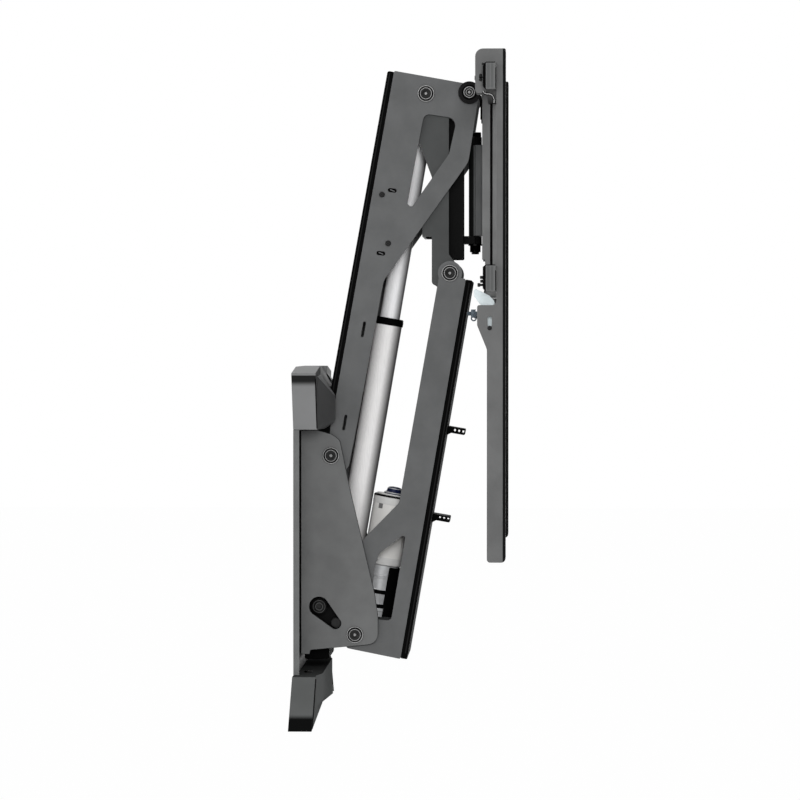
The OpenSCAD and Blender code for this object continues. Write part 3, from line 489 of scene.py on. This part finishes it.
def hex_reach(angle, radius):
    """Distance from the middle of a hexagon to its side at an angle. Its corners are at radius."""
    part = (angle % (math.pi / 3)) - math.pi / 6
    return radius * math.cos(math.pi / 6) / math.cos(part)


def raised(rows, rise):
    """A profile moved up."""
    return [(radius, rise + height) for radius, height in rows]


def turned(profile, to_world, steps=48):
    """Vertices and faces of a turned form. The profile's rows are (radius, height, "hex" or nothing).

    Its ends are closed with flat faces, unless the profile ends where it starts.
    """
    vertices, faces = [], []
    for row in profile:
        for k in range(steps):
            angle = 2 * math.pi * k / steps
            reach = hex_reach(angle, row[0]) if len(row) > 2 else row[0]
            vertices.append(to_world(reach * math.cos(angle), reach * math.sin(angle), row[1]))
    for i in range(len(profile) - 1):
        for k in range(steps):
            a, b = i * steps + k, i * steps + (k + 1) % steps
            faces.append((a, b, b + steps, a + steps))
    if profile[0] != profile[-1]:
        last = (len(profile) - 1) * steps
        faces += [tuple(reversed(range(steps))), tuple(range(last, last + steps))]
    return vertices, faces


def shifted(at, outline):
    """An outline moved to a place."""
    return [(at[0] + a, at[1] + b) for a, b in outline]


def gathered(parts):
    """One list of vertices and one of faces from several."""
    vertices, faces = [], []
    for part_vertices, part_faces in parts:
        shift = len(vertices)
        vertices += part_vertices
        faces += [tuple(i + shift for i in face) for face in part_faces]
    return vertices, faces


def along_x(at, x, side):
    """Places a turned form on a face at x, pointing outward on that side (1 or -1)."""
    return lambda u, v, h: point(side * (x + h), at[0] + u, at[1] + v)


def along_y(x, p, z, way=1):
    """Places a turned form along Y. Its height runs away from the wall, or toward it with way -1."""
    return lambda u, v, h: point(x + u, p + way * h, z + v)


def on_tube(off):
    """Places a turned form along the actuator. Off is the distance in front of its axis."""
    def place(u, v, h):
        p, z = off + v, h
        return point(u, PIN[0] + z * math.sin(TUBE_TILT) + p * math.cos(TUBE_TILT),
                     PIN[1] + z * math.cos(TUBE_TILT) - p * math.sin(TUBE_TILT))
    return place


def on_arm(foot, x, u, v):
    """A point in an arm's own outline, u in front of its pivot line and v up it."""
    return point(x, foot[0] + u * math.cos(LEAN) + v * math.sin(LEAN),
                 foot[1] + v * math.cos(LEAN) - u * math.sin(LEAN))


def prism(outline, x0, x1, place=point):
    """A plate with a side outline [(p, z)], from x0 to x1."""
    count = len(outline)
    vertices = [place(x, p, z) for x in (x0, x1) for p, z in outline]
    faces = [tuple(range(count)), tuple(reversed(range(count, 2 * count)))]
    faces += [(k, k + count, (k + 1) % count + count, (k + 1) % count) for k in range(count)]
    return vertices, faces


def rounded(width, height, radius):
    """Outline of a rounded rectangle about the origin."""
    steps = 5
    points = []
    for corner in range(4):
        cx = (width / 2 - radius) * (1 if corner in (0, 3) else -1)
        cy = (height / 2 - radius) * (1 if corner < 2 else -1)
        for k in range(steps + 1):
            angle = math.pi / 2 * (corner + k / steps)
            points.append((cx + radius * math.cos(angle), cy + radius * math.sin(angle)))
    return points


PIVOT_HEAD = [(8, 0), (8, 0.9), (7.7, 1.25), (7.1, 1.35), (6.7, 1.1), (6.5, 0.75), (6.2, 0.75),
              (6, 1.2), (5.9, 2.3), (5.5, 2.75), (4.6, 3), (3.3, 3), (3, 2.75, "hex"),
              (2.85, 1.3, "hex"), (1.3, 1.25), (0.9, 1.6), (0, 1.7)]


def pivot_bolts(name, at, x, length, body):
    """Domed socket bolts with their ring and nut, both sides, in place of the plain ones."""
    nut = [(0, -length), (7.8, -length), (8.8, -length + 0.6, "hex"), (8.8, -length + 4.6, "hex"),
           (8.2, -length + 5), (6, -length + 5)]
    parts = [turned(nut + [(6, 0)] + PIVOT_HEAD, along_x(at, x, side)) for side in BOTH]
    made = piece(name + "_turned", *gathered(parts), "black_bolt", body)
    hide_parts(name)


def socket_screw(size, at, x, side):
    """The head of a small socket screw, whose head at size 1 is 6.8 mm wide."""
    rows = [(3.4, 0), (3.4, 0.8), (3, 1.5), (2.1, 1.8), (1.6, 1.75, "hex"), (1.5, 0.7, "hex"), (0, 0.7)]
    return turned([(row[0] * size, row[1] * size) + row[2:] for row in rows], along_x(at, x, side), 36)


def linkage_bolts():
    """The bolts of the four pivots, long enough for the plates they hold and their nuts."""
    plate, nut, play = 3, 5, 0.3
    stack = CHEEK_X - ARM_X + plate + play + nut
    pivot_bolts("pivot_bolts_a", PIVOT_A, CHEEK_X, stack, "wall_unit")
    pivot_bolts("pivot_bolts_d", PIVOT_D, CHEEK_X, stack, "wall_unit")
    stack = LINK_BOLT_X - LINK_X + plate + nut
    pivot_bolts("pivot_bolts_b", PIVOT_B, LINK_BOLT_X, stack, "head_link")
    pivot_bolts("pivot_bolts_c", PIVOT_C, LINK_BOLT_X, stack, "head_link")


def anchor_heads():
    """Socket heads of the anchor bolts, at the big end of the cheeks' slots."""
    rows = [(4, -9), (4, 0), (6.6, 0), (6.6, 2.6), (6.2, 3.1), (5.2, 3.3), (4.9, 2.7), (4.6, 2.7),
            (4.3, 4.2), (3.8, 4.5), (2.9, 4.5), (2.7, 4.3, "hex"), (2.6, 1.4, "hex"), (0, 1.4)]
    parts = [turned(rows, along_x(ANCHOR_BOLT, ANCHOR_X, side)) for side in BOTH]
    made = piece("anchor_bolt_heads", *gathered(parts), "black_bolt", "wall_unit")
    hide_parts("anchor_bolts")


def rollers():
    """The rollers' screws, and their tyres with a rounded tread and a ridge on the outer side."""
    screw = [(3, -3.6), (3, 0), (4, 0), (4, 10.1), (6, 10.1), (6, 11), (5.6, 11.8), (4.9, 12.1),
             (4.5, 11.7), (4.1, 11.7), (3.8, 12.1), (2.7, 12.1), (2.5, 11.9, "hex"), (2.4, 10.9, "hex"),
             (0, 10.9)]
    parts = [turned(screw, along_x(ROLLER, ROLLER_SCREW_X, side)) for side in BOTH]
    made = piece("roller_socket_screws", *gathered(parts), "black_bolt", "upper_arm_unit")
    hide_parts("roller_screws")
    tyre = [(7, 0), (9.2, 0), (10.1, 0.5), (10.4, 1.3), (10.4, 7.7), (10.1, 8.5), (9.3, 9), (8.9, 8.8),
            (8.5, 8.8), (8.1, 9), (7, 9), (7, 0)]
    for name, side in NAMED_SIDES:
        body = "roller_" + name
        form = turned(tyre, along_x(ROLLER, ARM_X + 0.9, side), 60)
        made = piece(body + "_tyre", *form, "roller_rubber", body)
        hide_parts("roller_tyre_" + name)


def arm_screws():
    """Small screws beside the upper arm's slots, and in each slot a black back and a lug."""
    screws, lugs, backs = [], [], []
    turn = math.radians(8)
    for side in BOTH:
        for at in ((79.9, 332.5), (85.6, 286.8)):
            screws.append(socket_screw(0.82, at, ARM_X, side))
        for u, v in ((-7.6, ARM - 95.4), (-3, ARM - 155)):
            for height, width, deep, group in ((3.7, 8.3, 2.9, backs), (1.0, 4.8, 1.2, lugs)):
                outline = [(u + a * math.cos(turn) + b * math.sin(turn),
                            v - a * math.sin(turn) + b * math.cos(turn))
                           for a, b in rounded(width, height, height / 2 - 0.01)]
                group.append(prism(outline, side * (ARM_X - deep), side * (ARM_X - deep - 1.2),
                                   lambda x, a, b: on_arm(PIVOT_A, x, a, b)))
    piece("arm_panel_screws", *gathered(screws), "black_bolt", "upper_arm_unit")
    piece("slot_backs", *gathered(backs), "black_plastic", "upper_arm_unit")
    piece("slot_lugs", *gathered(lugs), "dark_steel", "upper_arm_unit")


def ring(radius, wire, height):
    """Profile of a round wire ring."""
    steps = 8
    turns = [2 * math.pi * (k % steps) / steps for k in range(steps + 1)]
    return [(radius + wire * math.cos(turn), height + wire * math.sin(turn)) for turn in turns]


def rim_highlights():
    """Lighter metal rings on the pivot bolts and the roller screws, and darker ones on the anchor bolts:
    painted highlights for the glints on their rims.
    """
    pivot_rings = ((7.35, 0.42, 1.2), (5.2, 0.3, 2.9), (0.75, 0.6, 1.3))
    roller_rings = ((4.9, 0.36, 12.05), (3.0, 0.3, 12.05), (0.7, 0.6, 11.1))
    groups = {"wall_unit": [], "head_link": [], "upper_arm_unit": []}
    for body, at, x, rings in (("wall_unit", PIVOT_A, CHEEK_X, pivot_rings),
                               ("wall_unit", PIVOT_D, CHEEK_X, pivot_rings),
                               ("head_link", PIVOT_B, LINK_BOLT_X, pivot_rings),
                               ("head_link", PIVOT_C, LINK_BOLT_X, pivot_rings),
                               ("upper_arm_unit", ROLLER, ROLLER_SCREW_X, roller_rings)):
        groups[body] += [turned(ring(*size), along_x(at, x, side), 40)
                         for side in BOTH for size in rings]
    for body, parts in groups.items():
        piece("rim_highlights_" + body, *gathered(parts), "zinc_steel", body, material="rim_zinc")
    parts = [turned(ring(*size), along_x(ANCHOR_BOLT, ANCHOR_X, side), 40)
             for size in ((5.6, 0.3, 3.3), (3.3, 0.4, 4.5)) for side in BOTH]
    piece("anchor_rim_highlights", *gathered(parts), "zinc_steel", "wall_unit", material="dark_zinc")


def rail_screws():
    """Small black screws on the outer side of each rail: two by its hook and one below its slot."""
    screws = ((0.42, (174.4, 431.2)), (0.42, (174.4, 427.4)), (0.6, (182.6, 206.9)))
    for name, side in NAMED_SIDES:
        parts = [socket_screw(size, at, RAIL_OUTER_X, side) for size, at in screws]
        piece("rail_screws_" + name, *gathered(parts), "black_bolt", "rail_unit_" + name)


def notch_tabs():
    """A riveted tab on each rail's inner wall, seen in the notch behind the lock pawl."""
    wall_x = 188.2
    outline = shifted((186.9, 229.0), rounded(8.6, 9.2, 1.4))
    rivet_rows = [(1.4, 0), (1.4, 0.3), (0.8, 0.7), (0, 0.8)]
    for name, side in NAMED_SIDES:
        tab = prism(outline, side * wall_x, side * (wall_x + 2))
        rivet = turned(rivet_rows, along_x((186.5, 226.8), wall_x + 1.8, side), 24)
        piece("notch_tab_" + name, *gathered([tab, rivet]), "rail_steel", "rail_unit_" + name)


def hook_lips():
    """The bent lip of each rail that hooks under the upper bar's end, on its black pad."""
    path = [(-2.6, -0.7), (-1.6, -2.2), (0.2, -3.2), (2.6, -3.2), (4.6, -3.8), (6.2, -5.4), (7.2, -8),
            (7.2, -11)]
    origin = (BAR_FACE, UPPER_BAR - BAR_HALF)
    inner_x = RAIL_OUTER_X - 0.6
    for name, side in NAMED_SIDES:
        lips, pads = [], []
        for k in range(len(path) - 1):
            start, end = Vector(path[k]), Vector(path[k + 1])
            run = (end - start).normalized()
            start, end = start - run * 0.2, end + run * 0.2
            for half, thick, group in ((0.42, 1.6, lips), (1.15, 1.2, pads)):
                across = Vector((run.y, -run.x)) * half
                corners = (start + across, end + across, end - across, start - across)
                group.append(prism(shifted(origin, corners), side * inner_x, side * (inner_x + thick)))
        body = "rail_unit_" + name
        piece("hook_pad_" + name, *gathered(pads), "black_plastic", body, smooth=False)
        piece("hook_lip_" + name, *gathered(lips), "rail_steel", body, smooth=False, material="rim_zinc")


def cover_beads():
    """A raised bead along the middle of each cable cover's side."""
    for name, body, foot, low, high, sign in (
            ("upper_cover_bead", "upper_arm_unit", PIVOT_A, (-7, 20), (-34.2, ARM + 13.2), -1),
            ("lower_cover_bead", "lower_arm_unit", PIVOT_D, (46.9, -11.6), (15.9, ARM - 1.5), 1)):
        start, end = Vector(low), Vector(high)
        run = (end - start).normalized()
        normal = Vector((run.y, -run.x)) * sign
        first, last = start + run * 6, end - run * 3
        near, far = normal * 3.3, normal * 4.2
        outline = [first + near, last + near, last + far, first + far]
        parts = [prism(outline, side * (ARM_X - 1.2), side * (ARM_X - 0.72),
                       lambda x, a, b: on_arm(foot, x, a, b)) for side in BOTH]
        piece(name, *gathered(parts), "black_plastic", body, smooth=False, material="bead_plastic")


def cheek_gap_shade():
    """A black strip where each cheek meets the wall plate: painted shade for the gap between them."""
    outline = [(2.55, -97.5), (4.5, -97.5), (4.5, 111.5), (2.55, 111.5)]
    parts = [prism(outline, side * (CHEEK_X - 0.5), side * (CHEEK_X + 0.35)) for side in BOTH]
    piece("cheek_gap_shade", *gathered(parts), "black_plastic", "wall_unit", smooth=False)


def cover_dark_strips():
    """Black strips along the covers' side edges, and a black piece between the upper cover and the
    cheeks: painted shade in the gap under the cover.
    """
    parts = []
    depth = 22.4
    section = ((-0.6, -0.9), (0.12, -0.9), (0.12, 0.1), (-0.6, 0.1))
    faces = [(0, 1, 2, 3), (7, 6, 5, 4), (0, 4, 5, 1), (1, 5, 6, 2), (2, 6, 7, 3), (3, 7, 4, 0)]
    # Each edge runs between two rows of (height, distance from the middle)
    for ends in (((114.6, 101.6), (161, 125.4)), ((-115.2, 120), (-155, 171.6))):
        for side in BOTH:
            vertices = [point(side * (half + out), depth + front, z)
                        for z, half in ends for out, front in section]
            parts.append((vertices, faces))
    # Painted shade: a black piece where the gap under the upper cover looks dark.
    for side in BOTH:
        parts.append(prism([(20, 107), (31, 105), (31.8, 118), (20, 114)], side * 52.3, side * 54.7))
    piece("cover_dark_strips", *gathered(parts), "black_plastic", "wall_unit", smooth=False)


def motor_turned(rows, steps=64):
    """A form turned about the motor's axis."""
    return turned(rows, on_tube(MOTOR_OFF), steps)


def shell(radius, thick, first, last, bottom, top, side):
    """A curved sheet round the motor's axis, its angles in degrees from the side toward the front."""
    steps = 14
    outer = radius + thick
    place = on_tube(MOTOR_OFF)
    vertices = []
    for k in range(steps + 1):
        angle = math.radians(first + (last - first) * k / steps)
        for reach, height in ((radius, bottom), (outer, bottom), (outer, top), (radius, top)):
            vertices.append(place(side * reach * math.cos(angle), reach * math.sin(angle), height))
    faces = [(0, 1, 2, 3), tuple(4 * steps + j for j in (3, 2, 1, 0))]
    for k in range(steps):
        for j in range(4):
            a, b = 4 * k + j, 4 * k + (j + 1) % 4
            faces.append((a, b, b + 4, a + 4))
    return vertices, faces


def drive_unit():
    """The gear stage, the motor with its label and the cable gland, in place of the plain ones."""
    foot = 18.5
    gears = [(0, 0), (15.8, 0), (15.8, 11.4), (16.2, 12.2), (16.2, 12.6), (13, 12.6), (13, 16.4),
             (16.2, 16.4), (16.2, 16.9), (15.8, 17.4), (15.8, 26.6), (16.1, 27), (16.1, 27.8),
             (14.2, 28), (14.2, 29.4), (16.2, 29.6), (16.2, 31), (15.7, 31.4), (15.7, 39.6), (0, 40)]
    made = piece("gear_rings", *motor_turned(raised(gears, foot)), "zinc_steel", "actuator_body")
    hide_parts("gear_stage")
    gear_band = [(13, 12.7), (16.8, 12.7), (16.8, 16.3), (13, 16.3)]
    foot_ring = [(15.8, 0.1), (16.9, 0.1), (16.9, 2.6), (15.8, 2.9)]
    piece("gear_band", *motor_turned(raised(gear_band, foot)), "black_plastic", "actuator_body")
    piece("gear_foot_ring", *motor_turned(raised(foot_ring, foot)), "black_plastic", "actuator_body")
    can = [(0, 58.5), (17, 58.5), (18.2, 59.2), (18.6, 60), (18.6, 63.5), (18.4, 63.8), (18.4, 116),
           (18.6, 116.3), (18.6, 122.4), (18.2, 123.6), (17.2, 124.6), (16.2, 124.9), (15.8, 125.9),
           (15, 126), (0, 126)]
    made = piece("motor_case", *motor_turned(can, 72), "motor_steel", "actuator_body")
    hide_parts("motor_can")
    edge = [(17.4, 123.5), (18.75, 122.9), (18.75, 123.6), (17.4, 124.9), (17.4, 123.5)]
    piece("motor_end_ring", *motor_turned(edge, 72), "black_steel", "actuator_body")
    gland = [(0, 125.5), (9.2, 125.5), (9.4, 126.2), (9.4, 127.2), (8.6, 127.9), (7.6, 128.3),
             (7.4, 129), (7.1, 130.4), (6.4, 131.9), (5.2, 132.7), (3.4, 133), (3.1, 132.2), (3, 130),
             (0, 130)]
    made = piece("motor_gland", *motor_turned(gland), "cap_plastic", "actuator_body")
    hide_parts("motor_cap")
    parts = [motor_turned(ring(*size)) for size in ((9.1, 0.55, 127.1), (6.6, 0.4, 131.3))]
    piece("gland_rings", *gathered(parts), "zinc_steel", "actuator_body")
    for name, material, radius, first, last, bottom, top in (
            ("motor_label", "label_film", 18.4, -62, 66, 66, 122),
            ("label_patch", "label_grey", 18.46, -40, -26, 111.5, 120.5)):
        parts = [shell(radius, 0.06, first, last, bottom, top, side) for side in BOTH]
        piece(name, *gathered(parts), "motor_steel", "actuator_body", material=material)
    parts = [shell(20.45, 0.4, -35, 24, foot - below, foot - above, side)
             for below, above in ((8.3, 3.6), (3.3, 0.4)) for side in BOTH]
    piece("gear_plates", *gathered(parts), "zinc_steel", "actuator_body")


def tube_collar():
    """The black collar on the tube's end, with its wiper lip."""
    rows = [(9.56, 283.6), (13.4, 283.6), (13.5, 284), (13.5, 288.2), (13.1, 288.6), (13.1, 289),
            (13.4, 289.3), (12.7, 290.3), (11.2, 290.5), (10.8, 290.1), (10.3, 290.1), (9.9, 290.5),
            (9.56, 290.3), (9.56, 283.6)]
    made = piece("collar_wiper", *turned(rows, on_tube(0), 64), "black_plastic", "actuator_body")
    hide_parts("tube_collar")


def open_loop(x, p, z, radius, wire):
    """A hook of round wire in the p-z plane, open at its top."""
    steps, minor = 26, 8
    vertices, faces = [], []
    for k in range(steps):
        angle = math.radians(70 + 320 * k / (steps - 1))
        for j in range(minor):
            roll = 2 * math.pi * j / minor
            reach = radius + wire * math.cos(roll)
            vertices.append(point(x + wire * math.sin(roll), p + reach * math.cos(angle),
                                  z + reach * math.sin(angle)))
    for k in range(steps - 1):
        for j in range(minor):
            a, b = k * minor + j, k * minor + (j + 1) % minor
            faces.append((a, b, b + minor, a + minor))
    faces.append(tuple(range(minor)))
    faces.append(tuple(reversed(range((steps - 1) * minor, steps * minor))))
    return vertices, faces


def lock_studs():
    """Threaded studs with nut and washer that hold the pawls, each with the loop of its spring."""
    p, z = BAR_FACE - 7.8, LOWER_BAR - BAR_HALF - 19.1
    thread = [(0, -9), (1.5, -9)] + [(1.95 - 0.35 * (k % 2), -8.6 + 0.4 * k) for k in range(8)]
    rows = thread + [(3.6, -5.6), (4.3, -5.3, "hex"), (4.3, -2.9, "hex"), (3.6, -2.6), (3.9, -2.2),
                     (3.9, -1.5), (2, -1.5), (2, 2.9), (0, 3)]
    for name, side in NAMED_SIDES:
        x, body = side * RAIL_X, "rail_unit_" + name
        parts = [turned(rows, along_y(x, p, z), 36), open_loop(x, p - 3.2, z - 4.2, 2.1, 0.62)]
        made = piece("lock_hardware_" + name, *gathered(parts), "zinc_steel", body, material="lock_zinc")
        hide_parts("lock_stud_" + name)


def bar_ends():
    """Ribs on the cross bars' end caps, darker as painted shade for the streaks of the caps' rounded
    faces, with the caps' black lips behind, above and in front.
    """
    ribs, lips = [], []
    top_lip = [(0.2, 11.3), (8.4, 11.3), (8.4, 12.1), (0.2, 12.1)]
    front_lip = [(8.5, -11), (9.2, -11), (9.2, 7), (8.5, 7)]
    rear_lip = [(-2.6, -9), (-0.05, -12), (-0.05, 12), (-2.6, 10)]
    for side in BOTH:
        for z in (UPPER_BAR, LOWER_BAR):
            for outline, inner_x, outer_x in ((top_lip, BAR_END_X - 3.9, BAR_END_X + 0.05),
                                              (front_lip, BAR_END_X - 3.9, BAR_END_X + 0.05),
                                              (rear_lip, BAR_END_X - 8.4, BAR_END_X - 0.8)):
                lips.append(prism(shifted((BAR_FACE, z), outline), side * inner_x, side * outer_x))
            for offset, width, rise in ((2.2, 2.6, 0.15), (5.6, 2.2, 0.1)):
                outline = shifted((BAR_FACE + offset, z), rounded(width, 21.5, 1))
                ribs.append(prism(outline, side * (BAR_END_X - 0.2), side * (BAR_END_X + rise)))
    piece("bar_cap_ribs", *gathered(ribs), "cover_plastic", "head", material="rib_painted_shade")
    piece("bar_cap_lips", *gathered(lips), "black_plastic", "head", smooth=False)


def bar_screws():
    """Small black screws behind the lower bar's ends."""
    parts = []
    for side in BOTH:
        for rise, head, long in ((0.9, 1.4, 5.2), (-2.5, 1.4, 5), (-5.8, 1.7, 7.4)):
            rows = [(1.1, 0), (1.1, long - 2.6), (head, long - 2.4), (head, long - 0.4),
                    (head - 0.4, long), (0, long)]
            parts.append(turned(rows, along_y(side * 219, BAR_FACE, LOWER_BAR + rise, -1), 24))
    piece("bar_end_screws", *gathered(parts), "black_bolt", "head")


def head_details():
    """A black strip in the groove of the head's stiffener, painted shade for the groove, and the swivel
    bolt with its threads.
    """
    # Painted shade: a black strip fills the groove.
    rear, front = BAR_FACE + 1.85, BAR_FACE + 3.95
    low, high = LOWER_BAR + BAR_HALF + 0.5, UPPER_BAR - BAR_HALF - 0.5
    outline = [(rear, low), (front, low), (front, high), (rear, high)]
    parts = [prism(outline, side * 36.1, side * 37.2) for side in BOTH]
    piece("stiffener_groove_shade", *gathered(parts), "black_plastic", "head", smooth=False)
    axis = PIVOT_B[0] + 45.4
    top, end = PIVOT_B[1] - 38, PIVOT_B[1] - 139.4
    thread = [(3.7 - 0.4 * (k % 2), end - 9.6 + 0.42 * k) for k in range(6)]
    nut = [(5.2, end - 7.6), (5.8, end - 7.2, "hex"), (5.8, end - 2, "hex"), (5.2, end - 1.6)]
    washer = [(6.6, end - 1.5), (6.6, end)]
    head = [(5.6, top), (6.4, top + 0.5, "hex"), (6.4, top + 3.9, "hex"), (5.4, top + 4.5),
            (0, top + 4.5)]
    rows = [(0, end - 9.6)] + thread + nut + washer + [(4, end), (4, top)] + head
    form = turned(rows, lambda u, v, h: Vector((u, v - axis, h)) * MM)
    made = piece("swivel_bolt_turned", *form, "black_bolt", "head_link")
    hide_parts("swivel_bolt")


def area_light(name, at, target, size, power, in_reflections=True):
    """A rectangular lamp at a place, turned to a target. Its power is in watts."""
    data = bpy.data.lights.new(name, "AREA")
    data.shape = "RECTANGLE"
    data.size, data.size_y = size
    data.energy = power
    light = bpy.data.objects.new(name, data)
    bpy.context.scene.collection.objects.link(light)
    light.visible_glossy = in_reflections
    light.location = at
    light.rotation_euler = (Vector(target) - Vector(at)).to_track_quat("-Z", "Y").to_euler()


def camera():
    """The photograph's viewpoint."""
    data = bpy.data.cameras.new("camera")
    data.lens = CAMERA_LENS
    data.sensor_width = 36
    data.clip_end = 50
    made = bpy.data.objects.new("camera", data)
    bpy.context.scene.collection.objects.link(made)
    flat = math.cos(CAMERA_PITCH)
    look = Vector((flat * math.cos(CAMERA_YAW), flat * math.sin(CAMERA_YAW), math.sin(CAMERA_PITCH)))
    made.location = CAMERA_AT
    made.rotation_euler = look.to_track_quat("-Z", "Y").to_euler()
    bpy.context.scene.camera = made


def seen_or_mirrored(tree):
    """1 where the camera or a shiny surface looks, and 0 for the light on the object."""
    path = tree.nodes.new("ShaderNodeLightPath")
    return calculated(tree, "MAXIMUM", path.outputs["Is Camera Ray"], path.outputs["Is Glossy Ray"])


def white_to_camera(tree, plain, white_share):
    """Mixes plain white into what the camera and shiny surfaces see."""
    share = calculated(tree, "MULTIPLY", seen_or_mirrored(tree), white_share)
    white = tree.nodes.new("ShaderNodeEmission")
    white.inputs["Color"].default_value = (1, 1, 1, 1)
    mix = tree.nodes.new("ShaderNodeMixShader")
    tree.links.new(share, mix.inputs[0])
    tree.links.new(plain, mix.inputs[1])
    tree.links.new(white.outputs[0], mix.inputs[2])
    output = next(n for n in tree.nodes if n.type == "OUTPUT_MATERIAL")
    tree.links.new(mix.outputs[0], output.inputs["Surface"])


def floor():
    """A pale floor below the part, all but white to the camera."""
    mesh = bpy.data.meshes.new("floor")
    half = 14
    corners = [(-half, -half, 0), (half, -half, 0), (half, half, 0), (-half, half, 0)]
    mesh.from_pydata(corners, [], [(0, 1, 2, 3)])
    made = bpy.data.objects.new("floor", mesh)
    made.location.z = FLOOR_Z
    bpy.context.scene.collection.objects.link(made)
    material = bpy.data.materials.new("floor")
    tree = node_tree(material)
    shader = shader_of(tree)
    shader.inputs["Base Color"].default_value = (0.9, 0.9, 0.9, 1)
    shader.inputs["Roughness"].default_value = 0.9
    white_to_camera(tree, shader.outputs[0], 0.99)
    mesh.materials.append(material)


def world():
    """An even white surround, brighter to the camera than as a light."""
    made = bpy.data.worlds.new("world")
    bpy.context.scene.world = made
    made.use_nodes = True
    tree = made.node_tree
    back = next(n for n in tree.nodes if n.type == "BACKGROUND")
    back.inputs["Color"].default_value = (1, 1, 1, 1)
    strength = spread(tree, seen_or_mirrored(tree), 0.22, 1.0)
    tree.links.new(strength, back.inputs["Strength"])


def studio():
    """The lamps: two from the camera's side, one above and one from the wall's side."""
    area_light("key_light", (-3.0, -0.36, 0.6), (0, -0.1, 0.15), (0.4, 0.8), 44, in_reflections=False)
    area_light("fill_light", (-3.0, 0.25, 0.6), (0, -0.1, 0.15), (0.8, 0.8), 16, in_reflections=False)
    area_light("top_light", (-0.4, 0.1, 2.6), (0, -0.1, 0.1), (1.5, 1.5), 12)
    area_light("wall_light", (-1.5, 1.5, 0.6), (0, -0.1, 0.1), (1.0, 1.6), 9)


camera()
floor()
world()
studio()
dress_nodes()
linkage_bolts()
anchor_heads()
rollers()
arm_screws()
cover_beads()
cheek_gap_shade()
cover_dark_strips()
drive_unit()
tube_collar()
lock_studs()
bar_ends()
bar_screws()
rim_highlights()
hook_lips()
rail_screws()
notch_tabs()
head_details()

scene = bpy.context.scene
scene.view_settings.view_transform = "Standard"
